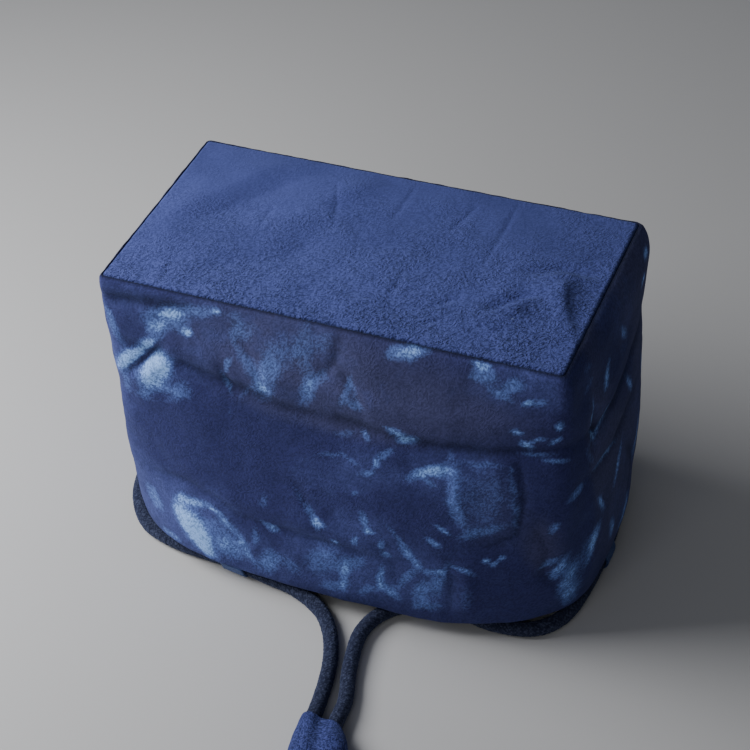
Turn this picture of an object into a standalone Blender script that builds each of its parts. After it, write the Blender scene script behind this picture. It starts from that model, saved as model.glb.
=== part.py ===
"""Drawstring pouch, standing on its mouth with its base panel up.

Metres, +Z up. X runs along the long side and the front is -Y. The origin is
at the middle of the pouch, on the surface that it stands on.
"""

import math

import bmesh
import bpy
import numpy as np

# Body of the pouch
HEIGHT = 0.134
BASE_LENGTH = 0.180
BASE_WIDTH = 0.094
BASE_CORNER = 0.0020
PANEL_CORNER = 0.0010
BASE_SHIFT = 0.0050
MOUTH_LENGTH = 0.1986
MOUTH_WIDTH = 0.1246
MOUTH_SHIFT = 0.0029
MOUTH_POWER = 3.0
RIM_HEIGHT = 0.0092
SEAM_DROP = 0.0003
BELLY = 0.0015
BELLY_RIGHT = 0.0030
SHOULDER = 0.0028
HEM_TUCK = 0.0012

# How sharply the wall's bulge, shoulder and tuck come in, and how its rows crowd at the ends
BELLY_POWER = 0.8
SHOULDER_POWER = 9
TUCK_POWER = 12
ROW_CROWDING = 0.7

# Cloth and the clearance between neighbouring pieces
OUTER_CLOTH = 0.0008
LINING_CLOTH = 0.0005
PANEL_CLOTH = 0.0010
GAP = 0.0003

# Drawcord, its loops and the cover on its ends
CORD_RADIUS = 0.0030
CORD_REST = 0.00305
CORD_BESIDE = 0.0032
LOOP_HEIGHT = 0.00445
LOOP_BORE = 0.0036
LOOP_DROP = 0.0006
LOOP_WIDTH = 0.011
LOOP_SIDES = 20
CORD_POINTS = 78
CORD_ROUNDNESS = 3
ROUTE_CHECKS = 600

COVER_NECK = (0.0260, -0.1164)
COVER_TURN = 15.0
COVER_MIDDLE = 0.0041
COVER_LENGTH = 0.034
COVER_WIDTH = 0.024
COVER_THICKNESS = 0.0135
COVER_SIDES = 24
# Rings of the cover from its neck to its tip: share of the length, of the width, of the thickness
COVER_PROFILE = (
    (0.00, 0.72, 0.60), (0.10, 0.78, 0.66), (0.25, 0.87, 0.80), (0.45, 0.97, 0.95),
    (0.62, 1.00, 1.00), (0.80, 0.90, 0.92), (0.93, 0.62, 0.66), (1.00, 0.26, 0.30),
)

# How many steps the wall has round each stretch and up its height
LONG_STEPS = 18
SHORT_STEPS = 9
CORNER_STEPS = 3
WALL_ROWS = 11
MOUTH_CHECKS = 2881

# Route of the cord's middle, from the cover round the mouth and back to it
CORD_ROUTE = (
    (0.02132, -0.11672, COVER_MIDDLE), (0.0204, -0.1085, CORD_BESIDE), (0.0183, -0.0957, CORD_REST),
    (0.0151, -0.0839, CORD_REST), (0.0097, -0.0729, CORD_REST), (0.0017, -0.0641, CORD_REST),
    (-0.0120, -0.0575, CORD_BESIDE), (-0.0250, -0.0555, 0.0037), (-0.0378, -0.0533, LOOP_HEIGHT),
    (-0.0510, -0.0515, 0.0037), (-0.0660, -0.0497, CORD_BESIDE), (-0.0821, -0.0443, CORD_REST),
    (-0.0930, -0.0320, CORD_BESIDE), (-0.0982, -0.0170, 0.0036), (-0.0993, 0.0, LOOP_HEIGHT),
    (-0.0982, 0.0170, 0.0036), (-0.0920, 0.0350, CORD_BESIDE), (-0.0801, 0.0482, CORD_BESIDE),
    (-0.0600, 0.0553, 0.0034), (-0.0390, 0.0564, LOOP_HEIGHT), (0.0, 0.0574, CORD_BESIDE),
    (0.0390, 0.0564, LOOP_HEIGHT), (0.0600, 0.0552, 0.0034), (0.0791, 0.0490, CORD_BESIDE),
    (0.0904, 0.0365, CORD_BESIDE), (0.0961, 0.0180, 0.0035), (0.0972, 0.0, LOOP_HEIGHT),
    (0.0962, -0.0190, 0.0034), (0.0927, -0.0366, CORD_BESIDE), (0.0840, -0.0464, CORD_REST),
    (0.0690, -0.0493, CORD_BESIDE), (0.0545, -0.0477, 0.0036), (0.0430, -0.0491, LOOP_HEIGHT),
    (0.0325, -0.0526, 0.0036), (0.0262, -0.0584, CORD_BESIDE), (0.0228, -0.0652, CORD_REST),
    (0.0220, -0.0740, CORD_REST), (0.0249, -0.0893, CORD_REST), (0.0292, -0.1035, CORD_BESIDE),
    (0.03021, -0.11434, COVER_MIDDLE),
)

# Where each loop holds the cord
LOOPS = {
    "cord_loop_front_left": (-0.0378, -0.0533),
    "cord_loop_front_right": (0.0430, -0.0491),
    "cord_loop_left": (-0.0993, 0.0),
    "cord_loop_right": (0.0972, 0.0),
    "cord_loop_back_left": (-0.0390, 0.0564),
    "cord_loop_back_right": (0.0390, 0.0564),
}

# Edges that turn more than this many degrees are shaded sharp
CREASE_ANGLE = 40.0

CLOTH_ROUGHNESS = 0.9
CORD_ROUGHNESS = 0.85
BASE_BLUE = (0.050, 0.080, 0.200)
WALL_BLUE = (0.018, 0.030, 0.100)
LINING_BLUE = (0.030, 0.045, 0.120)
LOOP_BLUE = (0.035, 0.060, 0.170)
CORD_BLUE = (0.010, 0.014, 0.035)


def clear_scene():
    """Take away whatever the scene opened with."""
    for item in list(bpy.data.objects):
        bpy.data.objects.remove(item, do_unlink=True)


def cloth(name, colour, roughness):
    """A plain fabric material."""
    material = bpy.data.materials.new(name)
    material.use_nodes = True
    shader = material.node_tree.nodes["Principled BSDF"]
    shader.inputs["Base Color"].default_value = (*colour, 1.0)
    shader.inputs["Roughness"].default_value = roughness
    shader.inputs["Metallic"].default_value = 0.0
    return material


def add_object(name, data, material):
    """Link a mesh or curve as a named object with its own material."""
    item = bpy.data.objects.new(name, data)
    item.data.materials.append(material)
    bpy.context.scene.collection.objects.link(item)
    return item


def rectangle_outline(length, width, corner):
    """Points round a rounded rectangle, counter-clockwise from the right side."""
    half_x = length / 2 - corner
    half_y = width / 2 - corner
    centres = [(half_x, half_y), (-half_x, half_y), (-half_x, -half_y), (half_x, -half_y)]
    sides = [LONG_STEPS, SHORT_STEPS, LONG_STEPS, SHORT_STEPS]
    points = []
    for index, (cx, cy) in enumerate(centres):
        start = index * math.pi / 2
        for step in range(CORNER_STEPS):
            angle = start + step / CORNER_STEPS * math.pi / 2
            points.append((cx + corner * math.cos(angle), cy + corner * math.sin(angle)))
        angle = start + math.pi / 2
        edge = (corner * math.cos(angle), corner * math.sin(angle))
        here = np.array((cx, cy)) + edge
        there = np.array(centres[(index + 1) % 4]) + edge
        for step in range(sides[index]):
            points.append(tuple(here + (there - here) * step / sides[index]))
    return np.array(points)


def mouth_outline(shares):
    """Points of the mouth's oval at the same shares of the way round."""
    turn = np.linspace(0.0, 2.0 * math.pi, MOUTH_CHECKS)
    power = 2.0 / MOUTH_POWER
    x = MOUTH_LENGTH / 2 * np.sign(np.cos(turn)) * np.abs(np.cos(turn)) ** power
    y = MOUTH_WIDTH / 2 * np.sign(np.sin(turn)) * np.abs(np.sin(turn)) ** power
    steps = np.hypot(np.diff(x), np.diff(y))
    travelled = np.concatenate(([0.0], np.cumsum(steps))) / steps.sum()
    return np.column_stack((np.interp(shares, travelled, x), np.interp(shares, travelled, y)))


def shares_round(points):
    """How far round its own outline each point lies, from the +X side's middle."""
    steps = np.hypot(*(np.roll(points, -1, axis=0) - points).T)
    travelled = np.concatenate(([0.0], np.cumsum(steps)[:-1]))
    return ((travelled + points[0][1]) / steps.sum()) % 1.0


def wall_rows():
    """Outer face of the side wall: rows of points from the rim up to the base seam."""
    base = rectangle_outline(BASE_LENGTH, BASE_WIDTH, BASE_CORNER)
    mouth = mouth_outline(shares_round(base))
    rows = []
    for index in range(WALL_ROWS + 1):
        level = index / WALL_ROWS
        up = level + ROW_CROWDING * math.sin(2.0 * math.pi * level) / (2.0 * math.pi)
        flat = (1.0 - up) * mouth + up * base
        outward = flat / np.linalg.norm(flat, axis=1, keepdims=True)
        belly = BELLY + BELLY_RIGHT * np.clip(outward[:, :1], 0.0, 1.0)
        swell = belly * math.sin(math.pi * up) ** BELLY_POWER
        swell = swell + SHOULDER * math.sin(math.pi * up ** SHOULDER_POWER)
        swell = swell - HEM_TUCK * (1.0 - up) ** TUCK_POWER
        middle = (BASE_SHIFT * up + MOUTH_SHIFT * (1.0 - up), 0.0)
        ring = flat + outward * swell + middle
        height = RIM_HEIGHT + up * (HEIGHT - SEAM_DROP - RIM_HEIGHT)
        rows.append(np.column_stack((ring, np.full(len(ring), height))))
    return np.array(rows)


def face_directions(rows):
    """Outward direction of the wall at each of its points."""
    along = np.roll(rows, -1, axis=1) - np.roll(rows, 1, axis=1)
    upward = np.gradient(rows, axis=0)
    outward = np.cross(along, upward)
    return outward / np.linalg.norm(outward, axis=2, keepdims=True)


def inset_rows(rows, inset, top_drop):
    """The wall's rows drawn in by an inset, with the top row slid down by a drop."""
    drawn = rows - face_directions(rows) * inset
    drawn[:, :, 2] = rows[:, :, 2]
    slide = top_drop / (rows[-1, 0, 2] - rows[-2, 0, 2])
    drawn[-1] = drawn[-1] + slide * (drawn[-2] - drawn[-1])
    return drawn


def wall_shell(name, rows, insets, top_drop, material):
    """A strip of cloth that runs right round, between two insets from the outer face."""
    outer = inset_rows(rows, insets[0], top_drop)
    inner = inset_rows(rows, insets[1], top_drop)
    build = bmesh.new()
    faces = [[[build.verts.new(point) for point in row] for row in side] for side in (outer, inner)]
    count = rows.shape[1]
    for side, grid in enumerate(faces):
        for lower, upper in zip(grid[:-1], grid[1:]):
            for here in range(count):
                after = (here + 1) % count
                for last in (upper[here], lower[after]):
                    corners = [lower[here], upper[after], last]
                    flip = (side == 0) == (last is lower[after])
                    build.faces.new(corners[::-1] if flip else corners)
    for row in (0, -1):
        for here in range(count):
            after = (here + 1) % count
            corners = [faces[0][row][after], faces[0][row][here]]
            corners += [faces[1][row][here], faces[1][row][after]]
            build.faces.new(corners if row == 0 else corners[::-1])
    mesh = bpy.data.meshes.new(name)
    build.to_mesh(mesh)
    build.free()
    mesh.shade_smooth()
    mesh.set_sharp_from_angle(angle=math.radians(CREASE_ANGLE))
    return add_object(name, mesh, material)


def flat_panel(name, outline, top, thickness, material):
    """A flat piece of cloth with the outline's shape, its upper face at top."""
    build = bmesh.new()
    corners = [build.verts.new((x, y, top)) for x, y in outline]
    face = build.faces.new(corners)
    lowered = bmesh.ops.extrude_face_region(build, geom=[face])
    moved = [item for item in lowered["geom"] if isinstance(item, bmesh.types.BMVert)]
    bmesh.ops.translate(build, verts=moved, vec=(0.0, 0.0, -thickness))
    bmesh.ops.recalc_face_normals(build, faces=build.faces)
    mesh = bpy.data.meshes.new(name)
    build.to_mesh(mesh)
    build.free()
    return add_object(name, mesh, material)


def panel_outline(inset):
    """Outline of the base rectangle, drawn in by an inset."""
    corner = max(BASE_CORNER - inset, PANEL_CORNER)
    outline = rectangle_outline(BASE_LENGTH - 2 * inset, BASE_WIDTH - 2 * inset, corner)
    return outline + (BASE_SHIFT, 0.0)


def build_body():
    """Base panel and side wall, and the lining inside them."""
    panel_inset = OUTER_CLOTH + GAP
    flat_panel("base_panel", panel_outline(panel_inset), HEIGHT, PANEL_CLOTH,
               cloth("base cloth", BASE_BLUE, CLOTH_ROUGHNESS))
    rows = wall_rows()
    wall_shell("side_wall", rows, (0.0, OUTER_CLOTH), 0.0, cloth("wall cloth", WALL_BLUE, CLOTH_ROUGHNESS))
    lining = cloth("lining cloth", LINING_BLUE, CLOTH_ROUGHNESS)
    lining_drop = PANEL_CLOTH + GAP
    lining_inset = OUTER_CLOTH + GAP
    insets = (lining_inset, lining_inset + LINING_CLOTH)
    wall_shell("lining_wall", rows, insets, lining_drop - SEAM_DROP, lining)
    base_inset = lining_inset + LINING_CLOTH + 2 * GAP
    flat_panel("lining_base", panel_outline(base_inset), HEIGHT - lining_drop, LINING_CLOTH, lining.copy())


def rim_reach(place, outward):
    """How far outward from a place the middle of the mouth's seam lies."""
    mouth = mouth_outline(np.linspace(0.0, 1.0, ROUTE_CHECKS)) + (MOUTH_SHIFT, 0.0)
    offset = mouth - place
    sideways = np.abs(offset @ np.array((-outward[1], outward[0])))
    ahead = offset @ outward
    near = np.where(np.abs(ahead) < MOUTH_WIDTH / 4, sideways, MOUTH_LENGTH)
    return ahead[int(np.argmin(near))] - OUTER_CLOTH - HEM_TUCK


def loop_outline(reach):
    """Outside of the folded strap: a round with a tail drawn out to the seam."""
    half_step = math.pi / LOOP_SIDES
    rise = RIM_HEIGHT - LOOP_DROP - LOOP_HEIGHT
    tail = math.atan2(rise, reach)
    length = math.hypot(rise, reach)
    corner = round((tail - half_step) / (2 * half_step)) * 2 * half_step + half_step
    spread = math.acos(min(1.0, LOOP_HEIGHT / length))
    points = []
    for step in range(LOOP_SIDES):
        angle = 2.0 * half_step * step + half_step
        away = abs((angle - corner + math.pi) % (2.0 * math.pi) - math.pi)
        radius = LOOP_HEIGHT / math.cos(half_step)
        if away < spread:
            radius = max(radius, LOOP_HEIGHT / math.cos(spread - away))
        if away < half_step:
            points.append((reach, rise))
        else:
            points.append((radius * math.cos(angle), min(rise, radius * math.sin(angle))))
    return points


def build_loop(name, x, y, material):
    """A short strap folded round the cord, its joined ends up at the mouth's seam."""
    route = smooth_route(CORD_ROUTE, ROUTE_CHECKS)
    nearest = int(np.argmin(np.hypot(route[:, 0] - x, route[:, 1] - y)))
    along = route[nearest + 4] - route[nearest - 4]
    along = along * (1.0, 1.0, 0.0) / np.hypot(along[0], along[1])
    outward = np.array((along[1], -along[0], 0.0))
    if outward[0] * x + outward[1] * y < 0.0:
        outward = -outward
    outside = loop_outline(rim_reach(np.array((x, y)), outward[:2]))
    half_step = math.pi / LOOP_SIDES
    turns = [2.0 * half_step * step + half_step for step in range(LOOP_SIDES)]
    bore = [(LOOP_BORE * math.cos(turn), LOOP_BORE * math.sin(turn)) for turn in turns]
    middle = np.array((x, y, LOOP_HEIGHT))
    build = bmesh.new()
    rings = []
    for side in (-0.5, 0.5):
        for outline in (outside, bore):
            ring = []
            for reach, rise in outline:
                spot = middle + outward * reach + along * side * LOOP_WIDTH
                spot[2] += rise
                ring.append(build.verts.new(spot))
            rings.append(ring)
    outer_a, bore_a, outer_b, bore_b = rings
    for first, second in ((outer_a, outer_b), (outer_b, bore_b), (bore_b, bore_a), (bore_a, outer_a)):
        for here in range(LOOP_SIDES):
            after = (here + 1) % LOOP_SIDES
            build.faces.new((first[here], second[here], second[after], first[after]))
    bmesh.ops.recalc_face_normals(build, faces=build.faces)
    mesh = bpy.data.meshes.new(name)
    build.to_mesh(mesh)
    build.free()
    mesh.shade_smooth()
    mesh.set_sharp_from_angle(angle=math.radians(CREASE_ANGLE))
    return add_object(name, mesh, material)


def smooth_route(route, count):
    """Evenly spaced points along a smooth curve through the route's own points."""
    knots = np.array(route)
    padded = np.vstack((2 * knots[0] - knots[1], knots, 2 * knots[-1] - knots[-2]))
    fine = []
    for before, start, end, after in zip(padded[:-3], padded[1:-2], padded[2:-1], padded[3:]):
        for part in np.linspace(0.0, 1.0, 16, endpoint=False):
            straight = 2 * start + (end - before) * part
            bend = (2 * before - 5 * start + 4 * end - after) * part ** 2
            twist = (3 * start - before - 3 * end + after) * part ** 3
            fine.append((straight + bend + twist) / 2)
    fine.append(knots[-1])
    fine = np.array(fine)
    travelled = np.concatenate(([0.0], np.cumsum(np.linalg.norm(np.diff(fine, axis=0), axis=1))))
    stops = np.linspace(0.0, travelled[-1], count)
    return np.column_stack([np.interp(stops, travelled, fine[:, axis]) for axis in range(3)])


def build_cord():
    """The braided cord, one length that runs from the cover round the mouth and back."""
    curve = bpy.data.curves.new("drawcord", "CURVE")
    curve.dimensions = "3D"
    curve.bevel_depth = CORD_RADIUS
    curve.bevel_resolution = CORD_ROUNDNESS
    curve.use_fill_caps = True
    points = smooth_route(CORD_ROUTE, CORD_POINTS)
    spline = curve.splines.new("POLY")
    spline.points.add(len(points) - 1)
    for spot, point in zip(spline.points, points):
        spot.co = (*point, 1.0)
    add_object("drawcord", curve, cloth("cord cotton", CORD_BLUE, CORD_ROUGHNESS))


def build_cover():
    """The small cloth bud sewn over the cord's two ends."""
    turn = math.radians(COVER_TURN)
    forward = np.array((math.sin(turn), -math.cos(turn)))
    sideways = np.array((math.cos(turn), math.sin(turn)))
    build = bmesh.new()
    rings = []
    for share, wide, thick in COVER_PROFILE:
        ring = []
        for step in range(COVER_SIDES):
            angle = 2.0 * math.pi * (step + 0.5) / COVER_SIDES
            across = wide * COVER_WIDTH / 2 * math.cos(angle)
            x, y = COVER_NECK + forward * share * COVER_LENGTH + sideways * across
            z = (1.0 + math.sin(angle)) * thick * COVER_THICKNESS / 2
            ring.append(build.verts.new((x, y, z)))
        rings.append(ring)
    for first, second in zip(rings[:-1], rings[1:]):
        for here in range(COVER_SIDES):
            after = (here + 1) % COVER_SIDES
            build.faces.new((first[here], first[after], second[after], second[here]))
    build.faces.new(rings[0])
    build.faces.new(rings[-1])
    bmesh.ops.recalc_face_normals(build, faces=build.faces)
    mesh = bpy.data.meshes.new("cord_end_cover")
    build.to_mesh(mesh)
    build.free()
    mesh.shade_smooth()
    mesh.set_sharp_from_angle(angle=math.radians(CREASE_ANGLE))
    add_object("cord_end_cover", mesh, cloth("cover cloth", BASE_BLUE, CLOTH_ROUGHNESS))


clear_scene()
build_body()
for loop_name, (loop_x, loop_y) in LOOPS.items():
    build_loop(loop_name, loop_x, loop_y, cloth(loop_name, LOOP_BLUE, CLOTH_ROUGHNESS))
build_cord()
build_cover()
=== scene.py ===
"""Looks of a box-bottomed drawstring pouch in indigo cotton, standing on its open mouth."""

import math

import bpy
import numpy as np
from mathutils import Matrix, Vector, noise


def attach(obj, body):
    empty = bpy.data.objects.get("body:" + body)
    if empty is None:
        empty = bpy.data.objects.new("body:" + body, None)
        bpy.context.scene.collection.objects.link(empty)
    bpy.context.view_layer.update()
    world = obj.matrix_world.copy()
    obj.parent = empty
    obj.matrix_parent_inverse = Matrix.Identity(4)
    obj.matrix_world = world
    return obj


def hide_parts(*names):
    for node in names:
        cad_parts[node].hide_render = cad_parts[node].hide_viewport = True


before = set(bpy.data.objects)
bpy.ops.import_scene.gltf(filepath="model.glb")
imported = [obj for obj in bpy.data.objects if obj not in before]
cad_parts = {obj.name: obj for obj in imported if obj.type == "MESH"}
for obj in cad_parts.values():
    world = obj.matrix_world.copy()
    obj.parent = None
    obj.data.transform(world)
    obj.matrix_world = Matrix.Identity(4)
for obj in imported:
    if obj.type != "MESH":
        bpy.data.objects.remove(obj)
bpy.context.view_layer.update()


# The view and the stage: a long lens from above the front right corner, a pale
# floor, one broad soft window of light from the left and a weaker fill.

VIEW_LENS = 96.0
VIEW_SENSOR = 36.0
VIEW_SHIFT = -0.004
VIEW_PLACE = Vector((0.24505, -0.54169, 0.57904))
VIEW_AZIMUTH = math.radians(24.058)
VIEW_ELEVATION = math.radians(40.459)
VIEW_ROLL = math.radians(-3.5)
FLOOR_REACH = 3.0
FLOOR_PAINT = (0.50, 0.49, 0.48, 1.0)
FLOOR_ROUGHNESS = 0.75
AIR_TINT = (0.80, 0.86, 1.0, 1.0)
AIR_STRENGTH = 0.12
LAMP_TINT = (0.95, 0.97, 1.0)
# Lamps: name, place, target, size and power
LAMPS = (
    ("window_light", (-0.42, -0.12, 0.40), (0.0, 0.0, 0.08), 0.36, 4.8),
    ("fill_light", (0.00, -1.30, 0.95), (0.0, 0.0, 0.06), 0.90, 3.2),
)


def place_object(name, data):
    """Put a new object in the scene."""
    thing = bpy.data.objects.new(name, data)
    bpy.context.scene.collection.objects.link(thing)
    return thing


def place_camera():
    """Set the camera by its azimuth, elevation and roll."""
    data = bpy.data.cameras.new("view_camera")
    data.lens = VIEW_LENS
    data.sensor_width = VIEW_SENSOR
    data.shift_y = VIEW_SHIFT
    camera = place_object("view_camera", data)
    turn = Matrix.Rotation(VIEW_AZIMUTH, 4, "Z")
    tip = Matrix.Rotation(math.pi / 2 - VIEW_ELEVATION, 4, "X")
    roll = Matrix.Rotation(VIEW_ROLL, 4, "Z")
    camera.matrix_world = Matrix.Translation(VIEW_PLACE) @ turn @ tip @ roll
    bpy.context.scene.camera = camera


def add_softbox(name, place, target, size, power):
    """A square area light that faces a target."""
    data = bpy.data.lights.new(name, "AREA")
    data.size = size
    data.energy = power
    data.color = LAMP_TINT
    lamp = place_object(name, data)
    aim = (Vector(target) - Vector(place)).to_track_quat("-Z", "Y")
    lamp.matrix_world = Matrix.Translation(place) @ aim.to_matrix().to_4x4()


def lay_floor():
    """A plain pale floor, well wider than the view."""
    mesh = bpy.data.meshes.new("floor")
    corners = [(x * FLOOR_REACH, y * FLOOR_REACH, 0.0) for x, y in ((-1, -1), (1, -1), (1, 1), (-1, 1))]
    mesh.from_pydata(corners, [], [(0, 1, 2, 3)])
    floor = place_object("floor", mesh)
    paint = bpy.data.materials.new("floor_paint")
    paint.use_nodes = True
    shader = paint.node_tree.nodes["Principled BSDF"]
    shader.inputs["Base Color"].default_value = FLOOR_PAINT
    shader.inputs["Roughness"].default_value = FLOOR_ROUGHNESS
    mesh.materials.append(paint)


def set_world():
    """A dim even grey all round."""
    world = bpy.data.worlds.new("studio_air")
    world.use_nodes = True
    back = world.node_tree.nodes["Background"]
    back.inputs["Color"].default_value = AIR_TINT
    back.inputs["Strength"].default_value = AIR_STRENGTH
    bpy.context.scene.world = world


place_camera()
lay_floor()
set_world()
for lamp_row in LAMPS:
    add_softbox(*lamp_row)


# The drawcord: one length of soft twelve-strand braided cotton cord, 6 mm
# thick. It leaves the cover on its ends, passes under the mouth through the
# six loops and comes back to the cover.

CORD_DIAMETER = 0.006
CORD_REST = 0.00305
CORD_BESIDE = 0.0032
CORD_IN_LOOP = 0.00445
CORD_IN_COVER = 0.0041
CORD_ROUTE = (
    (0.02132, -0.11672, CORD_IN_COVER), (0.0204, -0.1085, CORD_BESIDE), (0.0183, -0.0957, CORD_REST),
    (0.0151, -0.0839, CORD_REST), (0.0097, -0.0729, CORD_REST), (0.0017, -0.0641, CORD_REST),
    (-0.0120, -0.0575, CORD_BESIDE), (-0.0250, -0.0555, 0.0037), (-0.0378, -0.0533, CORD_IN_LOOP),
    (-0.0510, -0.0515, 0.0037), (-0.0660, -0.0497, CORD_BESIDE), (-0.0821, -0.0443, CORD_REST),
    (-0.0930, -0.0320, CORD_BESIDE), (-0.0982, -0.0170, 0.0036), (-0.0993, 0.0, CORD_IN_LOOP),
    (-0.0982, 0.0170, 0.0036), (-0.0920, 0.0350, CORD_BESIDE), (-0.0801, 0.0482, CORD_BESIDE),
    (-0.0600, 0.0553, 0.0034), (-0.0390, 0.0564, CORD_IN_LOOP), (0.0, 0.0574, CORD_BESIDE),
    (0.0390, 0.0564, CORD_IN_LOOP), (0.0600, 0.0552, 0.0034), (0.0791, 0.0490, CORD_BESIDE),
    (0.0904, 0.0365, CORD_BESIDE), (0.0961, 0.0180, 0.0035), (0.0972, 0.0, CORD_IN_LOOP),
    (0.0962, -0.0190, 0.0034), (0.0927, -0.0366, CORD_BESIDE), (0.0840, -0.0464, CORD_REST),
    (0.0690, -0.0493, CORD_BESIDE), (0.0545, -0.0477, 0.0036), (0.0430, -0.0491, CORD_IN_LOOP),
    (0.0325, -0.0526, 0.0036), (0.0262, -0.0584, CORD_BESIDE), (0.0228, -0.0652, CORD_REST),
    (0.0220, -0.0740, CORD_REST), (0.0249, -0.0893, CORD_REST), (0.0292, -0.1035, CORD_BESIDE),
    (0.03021, -0.11434, CORD_IN_COVER),
)
PATH_STEP = 0.002
CURVE_PARTS = 16
CORD_STEP = 0.00037
CORD_SIDES = 56
BRAID_STRANDS = 12
BRAID_PITCH = 0.0162
BRAID_RELIEF = 0.00034
BRAID_DIP = 0.75
# How the cord's surface is raised: share of the knobs, share of the braid, and sink
BRAID_RISE = (1.7, 0.7, -0.6)
KNOB_SCALE = 720.0
FIBRE_KNOB_SCALE = 950.0
SEAM_START = 0.001
QUARTER_TURN = 0.25
CROWN_WEAR_AND_SHADE_RANGE = (0.52, 0.90)
FIBRE_BROAD = 0.12
CORD_THREAD = 0.00045
CORD_BUMP = 0.00070
CORD_TAIL = 0.007
# The cord's navy, and its paler colour on the crowns: faded fibre together with painted light
CORD_NAVY = (0.0140, 0.0165, 0.0360)
CORD_FADED_AND_LIT = (0.1000, 0.1170, 0.2000)
CORD_SHEEN = (0.40, 0.50, 0.90)
COTTON_SPECULAR = 0.10
SHEEN_ROUGHNESS = 0.55


def smooth_route(route, step):
    """Evenly spaced points along a smooth curve through the route's own points."""
    knots = np.array(route)
    padded = np.vstack((2 * knots[0] - knots[1], knots, 2 * knots[-1] - knots[-2]))
    fine = []
    for before, start, end, after in zip(padded[:-3], padded[1:-2], padded[2:-1], padded[3:]):
        for part in np.linspace(0.0, 1.0, CURVE_PARTS, endpoint=False):
            straight = 2 * start + (end - before) * part
            bend = (2 * before - 5 * start + 4 * end - after) * part ** 2
            twist = (3 * start - before - 3 * end + after) * part ** 3
            fine.append((straight + bend + twist) / 2)
    fine.append(knots[-1])
    fine = np.array(fine)
    travelled = np.concatenate(([0.0], np.cumsum(np.linalg.norm(np.diff(fine, axis=0), axis=1))))
    stops = np.linspace(0.0, travelled[-1], max(2, round(travelled[-1] / step)))
    return np.column_stack([np.interp(stops, travelled, fine[:, axis]) for axis in range(3)])


def add_node(tree, kind, links=None, **settings):
    """Place a node, set its own properties and feed its inputs from sockets or values."""
    node = tree.nodes.new(kind)
    for key, value in settings.items():
        setattr(node, key, value)
    for key, value in (links or {}).items():
        if isinstance(value, bpy.types.NodeSocket):
            tree.links.new(value, node.inputs[key])
        else:
            node.inputs[key].default_value = value
    return node


def add_math(tree, operation, *values):
    """A Math node's result."""
    return add_node(tree, "ShaderNodeMath", dict(enumerate(values)), operation=operation).outputs[0]


def vector_math(tree, operation, vector, other):
    """A Vector Math node's result, from a vector and a second one or a scale."""
    key = "Scale" if operation == "SCALE" else 1
    return add_node(tree, "ShaderNodeVectorMath", {0: vector, key: other}, operation=operation).outputs[0]


def add_sockets(tree, in_out, **kinds):
    """Give a node group its named inputs or outputs."""
    for label, kind in kinds.items():
        tree.interface.new_socket(label, in_out=in_out, socket_type="NodeSocket" + kind)


def weave_relief(tree, along, around, strands, pitch):
    """Height of the braid's domes, 0 to 1, from the place along and round the cord."""
    wind = add_math(tree, "MULTIPLY", around, strands)
    rise = add_math(tree, "MULTIPLY", add_math(tree, "DIVIDE", along, pitch), strands)
    cells, squares = [], []
    for lean in ("ADD", "SUBTRACT"):
        strand = add_math(tree, lean, rise, wind)
        cells.append(add_math(tree, "FLOOR", strand))
        off = add_math(tree, "SUBTRACT", add_math(tree, "FRACT", strand), 0.5)
        squares.append(add_math(tree, "MULTIPLY", add_math(tree, "POWER", off, 2.0), 4.0))
    parity = add_math(tree, "FLOORED_MODULO", add_math(tree, "ADD", *cells), 2.0)
    left, right = squares
    across = add_math(tree, "MULTIPLY_ADD", parity, add_math(tree, "SUBTRACT", right, left), left)
    lengthways = add_math(tree, "SUBTRACT", add_math(tree, "ADD", left, right), across)
    dip = add_math(tree, "MULTIPLY_ADD", lengthways, -BRAID_DIP, 1.0)
    return add_math(tree, "MULTIPLY", add_math(tree, "SUBTRACT", 1.0, across), dip)


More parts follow.
